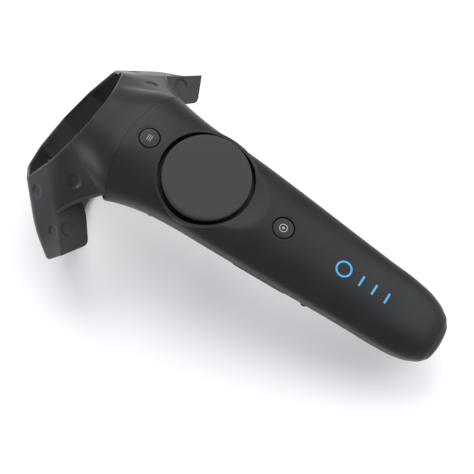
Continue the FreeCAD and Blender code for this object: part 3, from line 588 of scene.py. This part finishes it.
def outer_cover_patches():
    """The rim's rounded edge, the band from it to the waist and the deck's edge, and the
    lower band from the waist to the skirt on the two wings and the far side."""
    rim = [ring_place(half_loop(RIM_CORNERS, inset), depth) for inset, depth in RIM_ROWS]
    start = ring_place(half_loop(RIM_CORNERS), 0.35)
    flank = ring_flank(np.linspace(0.35, WAIST_DEPTH, UPPER_ROWS + 1))
    near = SHELF_COLUMN + 1
    steps = np.linalg.norm(np.diff(start[:near], axis=0), axis=1)
    shares = np.concatenate([[0], np.cumsum(steps)]) / steps.sum()
    edge, ways = deck_edge(shares)
    out_way = flank[1, :near] - flank[0, :near]
    out_way /= np.linalg.norm(out_way, axis=1)[:, None]
    chord = (edge - flank[0, :near]) / np.linalg.norm(edge - flank[0, :near], axis=1)[:, None]
    out_way = (out_way + chord) / 2
    ways = (ways + chord) / 2 * (1 - shares[:, None] ** 4) + chord * shares[:, None] ** 4
    deck = cubic_rows(flank[0, :near], out_way, edge, ways, np.linspace(0, 1, UPPER_ROWS + 1))
    upper = np.concatenate([deck, flank[:, near:]], 1)
    rows = whole_loop(np.concatenate([np.stack(rim), upper]))
    rows = dimpled(rows, grid_normals(rows, closed=True))
    lower = ring_flank(np.linspace(WAIST_DEPTH, SKIRT_DEPTH - 1.6, LOWER_ROWS + 1))
    skirt, rear = skirt_and_rear()
    turn = turned_edge(lower[-1], skirt, skirt + (rear - skirt) * TURN_SHARE)
    lower = np.concatenate([lower, turn])[:, SHELF_COLUMN:]
    lower = both_wings(lower)
    lower = dimpled(lower, grid_normals(lower))
    return [(rows, grid_faces(rows.shape[0], rows.shape[1], closed=True)),
            (lower, grid_faces(lower.shape[0], lower.shape[1]))]


surface_piece("ring_outer_shell", outer_cover_patches(), SOFT_TOUCH, "body",
              ["ring_outer_cover"], wall=1.2, edge=0.25)

# ---- Tracking ring: light sensors -----------------------------------------------------------
# A small round board sits behind every dimple, against the thinned wall, and sees infra-red
# light through it.
SENSOR_RADIUS, SENSOR_TOP, SENSOR_THICK = 2.1, 2.6, 0.9


def sensor_patches():
    """One shallow disc for each dimple, set inwards along its normal: circles of points in
    the dimple's own plane, with a pole in the middle of each face."""
    patches = []
    turn = np.linspace(0, 2 * math.pi, 25)[:-1, None]
    for centre, outward in dimple_places():
        side = np.cross(outward, [0.3, 0.9, 0.2])
        side /= np.linalg.norm(side)
        circle = np.cos(turn) * side + np.sin(turn) * np.cross(outward, side)
        rows = [(0.0, SENSOR_TOP), (SENSOR_RADIUS, SENSOR_TOP),
                (SENSOR_RADIUS, SENSOR_TOP + SENSOR_THICK), (0.0, SENSOR_TOP + SENSOR_THICK)]
        grid = np.stack([centre + circle * radius - outward * depth for radius, depth in rows])
        patches.append((grid, grid_faces(4, 24, closed=True)))
    return patches


surface_piece("sensor_discs", sensor_patches(), SOLDER_MASK, "body", ["tracking_sensors"])

# ---- Tracking ring: inner cover -------------------------------------------------------------
# The second moulding of the ring: the wall of the hole, the rear face, the shelves above the
# wings and the underside of the deck. Screws through the rear face hold the two together.
BORE_START, BORE_BREAK = 1.5, 17.4
BORE_ROWS, CLOSING_ROWS, SHELF_ROWS = 26, 20, 20


def ring_bore(depth):
    """Right half of the hole's wall at depths behind the rim: it opens slowly to its middle
    depth and faster to the rear, with a soft bend between."""
    rim, middle = half_loop(RIM_CORNERS, RIM_LAND), half_loop(HOLE_CORNERS)
    rear = half_loop(REAR_CORNERS, REAR_LAND)
    first = (middle - rim) / HOLE_DEPTH
    second = (rear - middle) / (REAR_DEPTH - HOLE_DEPTH)
    d = np.asarray(depth)[:, None, None]
    flat = np.where(d < HOLE_DEPTH, rim + first * d, middle + second * (d - HOLE_DEPTH))
    flat = flat + (second - first) * soft_bend(d, HOLE_DEPTH, 5.0)
    return ring_place(flat, np.broadcast_to(depth[:, None], flat.shape[:2]))


def straight_rows(start, end, count):
    """Rows evenly spaced from after start to end."""
    t = np.linspace(0, 1, count + 1)[1:, None, None]
    return start + (end - start) * t


def inner_cover_patches():
    """The wall of the hole all round, the closing face under the deck on each side, the
    rest of the hole and the rear face on the wings, and the two flat shelves."""
    bore = ring_bore(np.linspace(BORE_START, BORE_BREAK, BORE_ROWS + 1))
    ring = whole_loop(bore)[::-1]
    ring = dimpled(ring, grid_normals(ring, closed=True))
    patches = [(ring, grid_faces(ring.shape[0], ring.shape[1], closed=True))]

    near = SHELF_COLUMN + 1
    start = ring_place(half_loop(RIM_CORNERS), 0.35)[:near]
    steps = np.linalg.norm(np.diff(start, axis=0), axis=1)
    shares = np.concatenate([[0], np.cumsum(steps)]) / steps.sum()
    edge, _ = deck_edge(shares)
    seam_end = to_seam_arc(np.array([1.0]))[0][0]
    tucked = np.stack([edge[:, 0], np.minimum(edge[:, 1], 33.0), np.full(near, SEAM_Z - 1.0)], 1)
    over_handle = edge[:, 0] < seam_end[0]
    edge = np.where(over_handle[:, None], tucked, edge)
    closing = np.concatenate([bore[-1:, :near],
                              straight_rows(bore[-1, :near], edge, CLOSING_ROWS)])
    closing = np.concatenate([closing[:, :0:-1] * np.array([-1.0, 1, 1]), closing], 1)[::-1]
    patches.append((closing, grid_faces(closing.shape[0], closing.shape[1])))

    skirt, rear = skirt_and_rear()
    deep = ring_bore(np.linspace(BORE_BREAK, REAR_DEPTH - 1.5, BORE_ROWS))
    inner_rear = ring_place(half_loop(REAR_CORNERS, REAR_LAND), REAR_DEPTH)
    land = inner_rear + (rear - inner_rear) * 0.5
    toward = rear + (skirt - rear) * 0.12
    meet = skirt + (rear - skirt) * (TURN_SHARE + 0.012)
    back = np.concatenate([deep, turned_edge(deep[-1], inner_rear, land),
                           turned_edge(land, rear, toward),
                           straight_rows(toward, meet, 14)])[:, SHELF_COLUMN:]
    chain = np.concatenate([back[:, 0], skirt[None, SHELF_COLUMN]])
    wings = both_wings(back)[::-1]
    wings = dimpled(wings, grid_normals(wings))
    patches.append((wings, grid_faces(wings.shape[0], wings.shape[1])))

    top = ring_place(half_loop(WAIST_CORNERS)[SHELF_COLUMN], WAIST_DEPTH)
    flank = ring_flank(np.linspace(WAIST_DEPTH, SKIRT_DEPTH, chain.shape[0]))[:, SHELF_COLUMN]
    flank[0] = top
    across = np.linspace(0, 1, SHELF_ROWS + 1)[:, None, None]
    shelf = flank + (chain - flank) * across
    shelf = dimpled(shelf, grid_normals(shelf))
    patches.append((shelf, grid_faces(shelf.shape[0], shelf.shape[1])))
    other = shelf[::-1] * np.array([-1.0, 1, 1])
    patches.append((other, grid_faces(other.shape[0], other.shape[1])))
    return patches


# The inner cover's black is a few times lighter than the outer cover's. This is painted light for
# the light that falls on the wall of the hole.
INNER_BLACK_PAINTED_LIGHT = grained_material("inner black with painted light", (0.011, 0.011, 0.0117),
                              (0.015, 0.0153, 0.016), 60.0, 0.45, spread=0.05, bump=0.15,
                              specular=0.4)
surface_piece("ring_inner_shell", inner_cover_patches(), INNER_BLACK_PAINTED_LIGHT, "body",
              ["ring_inner_cover"], wall=1.1, edge=0.5)

# ---- Handle: top cover ----------------------------------------------------------------------
# The upper soft-touch moulding of the grip, from the seam arc to the tail. A shallow round
# scoop for the thumb is sunk round the trackpad, and there is an opening for each key.
TAIL_Y = -123.2
SCOOP_RADIUS, SCOOP_Y, SCOOP_FLOOR, SCOOP_BLEND = 100.0, -4.5, -3.0, 0.16
WELL_RADIUS, WELL_FLOOR = 21.4, -7.0
MENU_Y, MENU_RADIUS = 30.0, 4.4
SYSTEM_Y, SYSTEM_RADIUS = -39.5, 4.6
KEY_GAP = 0.45
TAIL_ROWS, LENGTH_ROWS, HALF_COLUMNS = 26, 190, 34
JOINT_GAP = 0.12


def scooped(x, y, z):
    """The lower of a height and the scoop's sphere, with their meeting line softened."""
    ball = SCOOP_FLOOR + SCOOP_RADIUS - np.sqrt(SCOOP_RADIUS ** 2 - x ** 2 - (y - SCOOP_Y) ** 2)
    near = x ** 2 + (y - SCOOP_Y) ** 2 < 34.0 ** 2
    apart = np.sqrt((z - ball) ** 2 + 4 * SCOOP_BLEND ** 2)
    return np.where(near & (z > -6), (z + ball - apart) / 2, z)


def deck_height(x, y):
    """Height of the handle's upper face over a place, scoop included."""
    half_width, crown, _, belt = handle_lines(y)
    rise = (1 - np.clip(np.abs(x) / half_width, 0, 0.999) ** ROUNDNESS) ** (1 / ROUNDNESS)
    return scooped(x, y, belt + (crown - belt) * rise)


def round_gap(x0, y0, radius):
    """Signed distance, seen from above, to a circle: negative inside."""
    return lambda p: np.hypot(p[:, 0] - x0, p[:, 1] - y0) - radius


def opened(points, faces, distance, axes, seat):
    """Cuts an opening in a grid. Faces wholly inside it go, and corners of the others that
    lie inside are moved straight to its outline, then seated on the surface again."""
    flat = points.reshape(-1, 3).copy()
    inside = distance(flat) < 0
    faces = faces[~inside[faces].all(1)]
    edge = np.unique(faces[inside[faces]])
    moved = flat[edge]
    for _ in range(3):
        gap = distance(moved)
        slope = []
        for axis in axes:
            nudge = np.zeros(3)
            nudge[axis] = 0.01
            slope.append((distance(moved + nudge) - distance(moved - nudge)) / 0.02)
        for axis, rate in zip(axes, slope):
            moved[:, axis] -= gap * rate
    flat[edge] = seat(moved)
    return flat.reshape(points.shape), faces


def seat_on_deck(p):
    """Points moved up or down onto the handle's upper face."""
    return np.stack([p[:, 0], p[:, 1], deck_height(p[:, 0], p[:, 1])], 1)


def well_wall(x0, y0, radius, floor, lip):
    """Wall of a round opening and a lip round its floor: circles from the deck down."""
    turn = np.linspace(0, 2 * math.pi, 145)[:-1]
    x, y = x0 + radius * np.cos(turn), y0 + radius * np.sin(turn)
    top = np.stack([x, y, deck_height(x, y) - 0.02], 1)
    foot = np.stack([x, y, np.full_like(x, floor)], 1)
    inner = np.stack([x0 + lip * np.cos(turn), y0 + lip * np.sin(turn), foot[:, 2]], 1)
    t = np.linspace(0, 1, 8)[:, None, None]
    rows = np.concatenate([top + (foot - top) * t, foot + (inner - foot) * t[1:]])
    return rows, grid_faces(rows.shape[0], rows.shape[1], closed=True)[:, ::-1]


def tail_and_length(front):
    """Stations from the tail to the front: close together round the tail, then even."""
    t = np.linspace(0, 1, TAIL_ROWS + 1)
    tail = TAIL_Y + 13.0 * t ** 2
    rest = np.linspace(0, 1, LENGTH_ROWS + 1)[1:]
    return np.concatenate([np.broadcast_to(tail[:, None], (len(tail), len(front))),
                           tail[-1] + (front - tail[-1]) * rest[:, None]])


def top_cover_patches():
    """The upper half of the handle with its openings, and the wells inside them."""
    share = np.linspace(-1, 1, 2 * HALF_COLUMNS + 1)
    arc, _ = to_seam_arc(np.abs(share))
    y = tail_and_length(arc[:, 1] - JOINT_GAP)
    angle = math.pi / 2 + (seam_angle(y) - math.pi / 2) * np.abs(share)
    points = handle_surface(angle, y)
    points[..., 0] *= np.sign(share) + (share == 0)
    points[..., 2] = scooped(points[..., 0], points[..., 1], points[..., 2])
    pole = np.broadcast_to([0, TAIL_Y - 0.15, SEAM_Z], points[:1].shape)
    points = np.concatenate([pole, points])
    faces = grid_faces(points.shape[0], points.shape[1])[:, ::-1]
    for place in ((0.0, 0.0, WELL_RADIUS), (0.0, MENU_Y, MENU_RADIUS + KEY_GAP),
                  (0.0, SYSTEM_Y, SYSTEM_RADIUS + KEY_GAP)):
        points, faces = opened(points, faces, round_gap(*place), (0, 1), seat_on_deck)
    return [(points, faces), well_wall(0.0, 0.0, WELL_RADIUS, WELL_FLOOR, 15.0),
            well_wall(0.0, MENU_Y, MENU_RADIUS + KEY_GAP, -4.6, 3.0),
            well_wall(0.0, SYSTEM_Y, SYSTEM_RADIUS + KEY_GAP, -4.6, 3.0)]


surface_piece("handle_top_shell", top_cover_patches(), SOFT_TOUCH, "body",
              ["handle_top_cover"], wall=1.4, edge=0.25)

# ---- Handle: bottom cover -------------------------------------------------------------------
# The lower moulding of the grip, held up by six screws. It has a long opening for the trigger,
# a slim one for each grip key and a cross hole for a lanyard in the tail.
TRIGGER_SLOT = (0.0, 4.5, 9.6, 24.0, 1.5)
GRIP_SLOT = (-42.5, -17.6, 13.8, 3.1, 2.3)
SCREW_PLACES = ((9.6, -104.0), (15.4, -65.0), (19.4, 14.0))
SCREW_WELL = 2.0
LANYARD_PLACE, LANYARD_RADIUS = (-116.8, -19.7), 1.5
BOTTOM_FRONT, NOSE_REACH, NOSE_ROWS = 32.5, 3.2, 14


def slot_gap(axes, a0, b0, half_a, half_b, radius, when):
    """Signed distance to a rounded rectangle across two axes, far away where when fails."""
    def distance(p):
        a = np.abs(p[:, axes[0]] - a0) - half_a + radius
        b = np.abs(p[:, axes[1]] - b0) - half_b + radius
        outside = np.hypot(np.clip(a, 0, None), np.clip(b, 0, None))
        gap = outside + np.minimum(np.maximum(a, b), 0) - radius
        return np.where(when(p), gap, 9.0)
    return distance


def seat_underneath(p):
    """Points moved up or down onto the handle's underside."""
    half_width, _, keel, belt = handle_lines(p[:, 1])
    rise = (1 - np.clip(np.abs(p[:, 0]) / half_width, 0, 0.999) ** ROUNDNESS) ** (1 / ROUNDNESS)
    return np.stack([p[:, 0], p[:, 1], belt + (keel - belt) * rise], 1)


def seat_beside(p):
    """Points moved sideways onto the handle's flank."""
    half_width, crown, keel, belt = handle_lines(p[:, 1])
    height = np.where(p[:, 2] > belt, crown - belt, belt - keel)
    rise = np.clip(np.abs(p[:, 2] - belt) / height, 0, 0.999)
    reach = half_width * (1 - rise ** ROUNDNESS) ** (1 / ROUNDNESS)
    return np.stack([np.sign(p[:, 0]) * reach, p[:, 1], p[:, 2]], 1)


def bottom_cover_patches():
    """The lower half of the handle with a rounded nose at the ring, and its openings."""
    share = np.linspace(1, -1, 2 * 46 + 1)
    y = tail_and_length(np.full(share.shape, BOTTOM_FRONT))
    seam = seam_angle(y)
    angle = -math.pi / 2 + (seam + math.pi / 2) * np.abs(share)
    points = handle_surface(angle, y)
    points[..., 0] *= np.sign(share) + (share == 0)
    points[..., 2] = np.minimum(points[..., 2], SEAM_Z - JOINT_GAP)
    turn = np.linspace(0, math.pi / 2, NOSE_ROWS + 1)[1:, None]
    nose = np.repeat(points[-1:], NOSE_ROWS, 0)
    shrink = 1 - 0.18 * (1 - np.cos(turn))
    nose[..., 0] *= shrink
    nose[..., 1] += NOSE_REACH * np.sin(turn)
    nose[..., 2] = SEAM_Z + (nose[..., 2] - SEAM_Z) * shrink
    middle = np.array([0, BOTTOM_FRONT + NOSE_REACH, SEAM_Z - 4.0])
    face = nose[-1:] + (middle - nose[-1:]) * np.linspace(0, 1, 9)[1:, None, None]
    pole = np.broadcast_to([0, TAIL_Y - 0.15, SEAM_Z - JOINT_GAP], points[:1].shape)
    points = np.concatenate([pole, points, nose, face])
    faces = grid_faces(points.shape[0], points.shape[1])[:, ::-1]
    low = lambda p: p[:, 2] < -16.0
    points, faces = opened(points, faces, slot_gap((0, 1), *TRIGGER_SLOT, low), (0, 1),
                           seat_underneath)
    for side in (-1, 1):
        flank = lambda p: p[:, 0] * side > 8.0
        points, faces = opened(points, faces, slot_gap((1, 2), *GRIP_SLOT, flank), (1, 2),
                               seat_beside)
        hole = lambda p: np.where(p[:, 0] * side > 0, np.hypot(
            p[:, 1] - LANYARD_PLACE[0], p[:, 2] - LANYARD_PLACE[1]) - LANYARD_RADIUS, 9.0)
        points, faces = opened(points, faces, hole, (1, 2), seat_beside)
        for x, station in SCREW_PLACES:
            well = lambda p: np.where(low(p), round_gap(side * x, station, SCREW_WELL)(p), 9.0)
            points, faces = opened(points, faces, well, (0, 1), seat_underneath)
    return [(points, faces)]


surface_piece("handle_bottom_shell", bottom_cover_patches(), SOFT_TOUCH, "body",
              ["handle_bottom_cover"], wall=1.5, edge=0.25)

# ---- Trackpad -------------------------------------------------------------------------------
# A round touch surface 40 mm across with a fine grain and a softly rounded rim. It clicks
# down with its carrier.
PAD_RADIUS, PAD_ROUND, PAD_SKIRT = 19.7, 0.9, -3.2


def turned_profile(profile, x0, y0, count=192):
    """A profile of (radius, height) pairs carried round an upright axis. The first pair has
    radius 0, so that the top closes in a pole."""
    turn = np.linspace(0, 2 * math.pi, count + 1)[:-1]
    radius, height = np.array(profile).T
    rows = np.stack([x0 + radius[:, None] * np.cos(turn), y0 + radius[:, None] * np.sin(turn),
                     np.broadcast_to(height[:, None], (len(radius), count))], -1)
    return rows, grid_faces(len(radius), count, closed=True)


def cap_profile(radius, top, edge, skirt, crown=0.0, rings=14):
    """Profile of a round cap: a face that rises by crown to its middle, a quarter circle at
    its edge, and a straight skirt."""
    inner = radius - edge
    flat = [(inner * k / rings, top + crown * (1 - (k / rings) ** 2)) for k in range(rings + 1)]
    turn = np.linspace(0, math.pi / 2, 8)[1:]
    curve = [(inner + edge * math.sin(a), top - edge * (1 - math.cos(a))) for a in turn]
    return flat + curve + [(radius, skirt), (radius - 1.2, skirt)]


def pad_material():
    """Dark warm grey with a moulded grain: small cells on object coordinates are a shallow
    bump, and a slow noise varies the gloss."""
    material = grained_material("touch surface", (0.017, 0.017, 0.0162), (0.021, 0.021, 0.0198),
                                90.0, 0.50, spread=0.03, bump=0.0, specular=0.35)
    nodes, links = material.node_tree.nodes, material.node_tree.links
    cells = nodes.new("ShaderNodeTexVoronoi")
    cells.inputs["Scale"].default_value = 1900.0
    relief = nodes["Bump"]
    relief.inputs["Strength"].default_value = 0.5
    relief.inputs["Distance"].default_value = 0.00006
    links.new(nodes["Texture Coordinate"].outputs["Object"], cells.inputs["Vector"])
    links.new(cells.outputs["Distance"], relief.inputs["Height"])
    return material


surface_piece("trackpad_face", [turned_profile(cap_profile(PAD_RADIUS, 0.0, PAD_ROUND, PAD_SKIRT),
                                               0.0, 0.0)],
              pad_material(), "trackpad", ["trackpad_disc"])

# ---- Menu and system keys -------------------------------------------------------------------
# Two small round caps with a satin face. The menu key carries three short bars and the
# system key a plain ring with a dot, pad-printed in pale grey.
KEY_ROUND, KEY_SKIRT, KEY_SINK = 0.35, -3.4, 0.25
PRINT_RISE = 0.02


def key_cap(name, radius, y, body, node):
    """Cap of one key, with a slight crown."""
    profile = cap_profile(radius, -KEY_SINK, KEY_ROUND, KEY_SKIRT, crown=0.12)
    surface_piece(name, [turned_profile(profile, 0.0, y, 96)], KEY_SATIN, body, [node])


def print_height(x, y, key_y, radius):
    """Height of a key's crowned face, with the print's own thickness on it."""
    share = (x ** 2 + (y - key_y) ** 2) / (radius - KEY_ROUND) ** 2
    return -KEY_SINK + 0.12 * (1 - share) + PRINT_RISE


def printed_strip(centre, along, across, key_y, radius, steps=8):
    """A rectangle of print laid on a key's face, long by along and wide by across."""
    a = np.linspace(-1, 1, steps + 1)[:, None] * along / 2
    b = np.linspace(-1, 1, 3)[None, :] * across / 2
    x, y = centre[0] + b + 0 * a, centre[1] + a + 0 * b
    grid = np.stack([x, y, print_height(x, y, key_y, radius)], -1)
    return grid, grid_faces(steps + 1, 3)[:, ::-1]


def printed_ring(inner, outer, key_y, radius, count=72):
    """A ring of print on a key's face."""
    turn = np.linspace(0, 2 * math.pi, count + 1)[:-1]
    r = np.linspace(inner, outer, 4)[:, None]
    x, y = r * np.cos(turn), key_y + r * np.sin(turn)
    grid = np.stack([x, y, print_height(x, y, key_y, radius)], -1)
    return grid, grid_faces(4, count, closed=True)


KEY_SATIN = grained_material("key satin", (0.0065, 0.0065, 0.007), (0.0095, 0.0095, 0.010),
                             120.0, 0.36, spread=0.04, bump=0.1, specular=0.36)
KEY_PRINT = grained_material("pale print", (0.34, 0.34, 0.35), (0.42, 0.42, 0.43), 1500.0, 0.5)
key_cap("menu_cap", MENU_RADIUS, MENU_Y, "menu_key", "menu_button")
key_cap("system_cap", SYSTEM_RADIUS, SYSTEM_Y, "system_key", "system_button")
menu_bars = [printed_strip((0.0, MENU_Y + offset), 0.2, 2.9, MENU_Y, MENU_RADIUS)
             for offset in (-0.85, 0.0, 0.85)]
system_mark = [printed_ring(1.55, 1.85, SYSTEM_Y, SYSTEM_RADIUS),
               printed_ring(0.0, 0.55, SYSTEM_Y, SYSTEM_RADIUS)]
surface_piece("menu_bars", menu_bars, KEY_PRINT, "menu_key", [])
surface_piece("system_mark", system_mark, KEY_PRINT, "system_key", [])


# ---- Mark on the grip -----------------------------------------------------------------------
# A plain pale-blue mark, pad-printed along the middle of the grip: a ring and three strokes.
MARK_RISE = 0.03
MARK_RING_Y, MARK_RING = -70.5, (2.9, 3.7)
MARK_STROKES, STROKE_LENGTH, STROKE_WIDTH = (-79.5, -86.0, -92.5), 5.0, 0.9


def on_grip(x, y, faces):
    """A patch of print at places seen from above, lifted onto the grip by its own thickness."""
    return np.stack([x, y, deck_height(x, y) + MARK_RISE], -1), faces


def mark_patches():
    """The ring and the strokes of the mark, each a thin grid that follows the grip."""
    turn = np.linspace(0, 2 * math.pi, 97)[:-1]
    r = np.linspace(*MARK_RING, 3)[:, None]
    patches = [on_grip(r * np.cos(turn), MARK_RING_Y + r * np.sin(turn),
                       grid_faces(3, 96, closed=True))]
    for y in MARK_STROKES:
        a = np.linspace(-1, 1, 17)[:, None] * STROKE_LENGTH / 2
        b = np.linspace(-1, 1, 3)[None, :] * STROKE_WIDTH / 2
        patches.append(on_grip(a + 0 * b, y + b + 0 * a, grid_faces(17, 3)))
    return patches


MARK_BLUE = grained_material("pale blue print", (0.035, 0.30, 0.62), (0.045, 0.36, 0.70),
                             900.0, 0.45)
surface_piece("grip_mark", mark_patches(), MARK_BLUE, "body", [])

# ---- Trigger --------------------------------------------------------------------------------
# A hooked finger lever that hangs under the front of the grip from its steel pin. It is a
# semi-gloss moulding with rounded edges.
TRIGGER_HALF, TRIGGER_ROUND = 9.0, 1.6
PIVOT_Y, PIVOT_Z = 22.0, -25.0


def arc_through(start, middle, end, count=18):
    """Points along the circle through three places, start left out."""
    ax, ay = start
    bx, by = middle
    cx, cy = end
    d = 2 * (ax * (by - cy) + bx * (cy - ay) + cx * (ay - by))
    a2, b2, c2 = ax * ax + ay * ay, bx * bx + by * by, cx * cx + cy * cy
    ox = (a2 * (by - cy) + b2 * (cy - ay) + c2 * (ay - by)) / d
    oy = (a2 * (cx - bx) + b2 * (ax - cx) + c2 * (bx - ax)) / d
    angles = [math.atan2(py - oy, px - ox) for px, py in (start, middle, end)]
    first = (angles[1] - angles[0] + math.pi) % (2 * math.pi) - math.pi
    second = (angles[2] - angles[1] + math.pi) % (2 * math.pi) - math.pi
    turn = angles[0] + (first + second) * np.linspace(0, 1, count + 1)[1:]
    radius = math.hypot(ax - ox, ay - oy)
    return np.stack([ox + radius * np.cos(turn), oy + radius * np.sin(turn)], 1)


def line_to(start, end, count=14):
    """Points along a straight run, start left out."""
    t = np.linspace(0, 1, count + 1)[1:, None]
    return np.array(start) + (np.array(end) - np.array(start)) * t


def trigger_outline():
    """Side view of the lever: hinge eye, finger face, hook and back."""
    p, q = PIVOT_Y, PIVOT_Z
    runs = [arc_through((p - 2.6, q + 2.2), (p + 1.2, q + 3.2), (p + 3.4, q)),
            line_to((p + 3.4, q), (p + 3.6, -31.5), 6),
            arc_through((p + 3.6, -31.5), (9.0, -37.0), (-6.0, -45.5), 40),
            arc_through((-6.0, -45.5), (-10.4, -46.4), (-13.0, -43.0), 16),
            line_to((-13.0, -43.0), (-12.6, -30.5)), line_to((-12.6, -30.5), (8.0, -27.0), 20),
            line_to((8.0, -27.0), (p - 2.6, q + 2.2), 12)]
    return np.concatenate(runs)


def trigger_patches():
    """The outline carried across the lever's width. Near each side it is drawn in towards
    its own middle along a quarter circle, and a flat cheek closes it."""
    outline = trigger_outline()
    ahead, behind = np.roll(outline, -1, 0), np.roll(outline, 1, 0)
    way = ahead - behind
    way /= np.linalg.norm(way, axis=1)[:, None]
    inward = np.stack([way[:, 1], -way[:, 0]], 1)
    turn = np.linspace(0, math.pi / 2, 7)
    draw = TRIGGER_ROUND * (1 - np.sin(turn))
    across = TRIGGER_HALF - TRIGGER_ROUND * (1 - np.cos(turn))
    half = [(outline + inward * d, x) for d, x in zip(draw, across)]
    span = [(outline, x) for x in np.linspace(-across[-1], across[-1], 12)[1:-1]]
    middle = outline.mean(0) + np.array([1.5, 2.0])
    cheek = half[0][0]
    rows = [(middle + (cheek - middle) * k, TRIGGER_HALF) for k in (0.0, 0.25, 0.5, 0.75)]
    right = rows + half
    rows = [(flat, -x) for flat, x in right] + span + [(flat, x) for flat, x in right[::-1]]
    grid = np.stack([np.concatenate([np.full((len(flat), 1), x), flat], 1) for flat, x in rows])
    return [(grid, grid_faces(grid.shape[0], grid.shape[1], closed=True))]


TRIGGER_GLOSS = grained_material("semi-gloss black", (0.014, 0.014, 0.015),
                                 (0.019, 0.019, 0.020), 80.0, 0.27, spread=0.04, bump=0.05)
surface_piece("trigger_lever_skin", trigger_patches(), TRIGGER_GLOSS, "trigger_lever",
              ["trigger"])

# ---- Grip keys ------------------------------------------------------------------------------
# Two slim keys that follow the sides of the grip and stand a little proud of it. Squeezing
# the handle presses both.
GRIP_PROUD = 0.4


def grip_key_patches(side):
    """A rounded rectangle of the handle's flank, raised and crowned, with a skirt inwards."""
    along, up, half_a, half_b, radius = GRIP_SLOT
    half_a, half_b = half_a - 0.3, half_b - 0.3
    a = np.linspace(-1, 1, 61)[:, None]
    b = np.linspace(-1, 1, 17)[None, :]
    corner = radius / half_a
    end = np.clip((np.abs(a) - (1 - corner)) / corner, 0, 1)
    half = half_b * (1 - (1 - np.sqrt(np.clip(1 - end ** 2, 0, 1))) * radius / half_b)
    y, z = along + half_a * a + 0 * b, up + half * b
    flat = np.stack([np.full(y.shape, 1.0 * side), y, z], -1).reshape(-1, 3)
    skin = seat_beside(flat).reshape(61, 17, 3)
    lift = GRIP_PROUD * np.clip((1 - np.maximum(np.abs(a), np.abs(b))) / 0.12, 0, 1) ** 0.5
    skin[..., 0] += side * (lift - 0.1)
    rim = np.concatenate([skin[0], skin[1:, -1], skin[-1, -2::-1], skin[-2:0:-1, 0]])
    t = np.linspace(0, 1, 6)[:, None, None]
    skirt = rim - t * np.array([side * 2.4, 0, 0])
    faces = grid_faces(61, 17)
    wall = grid_faces(6, len(rim), closed=True)
    return [(skin, faces if side > 0 else faces[:, ::-1]),
            (skirt, wall if side < 0 else wall[:, ::-1])]


surface_piece("grip_key_right_skin", grip_key_patches(1), KEY_SATIN, "grip_key_right",
              ["grip_button_right"])
surface_piece("grip_key_left_skin", grip_key_patches(-1), KEY_SATIN, "grip_key_left",
              ["grip_button_left"])
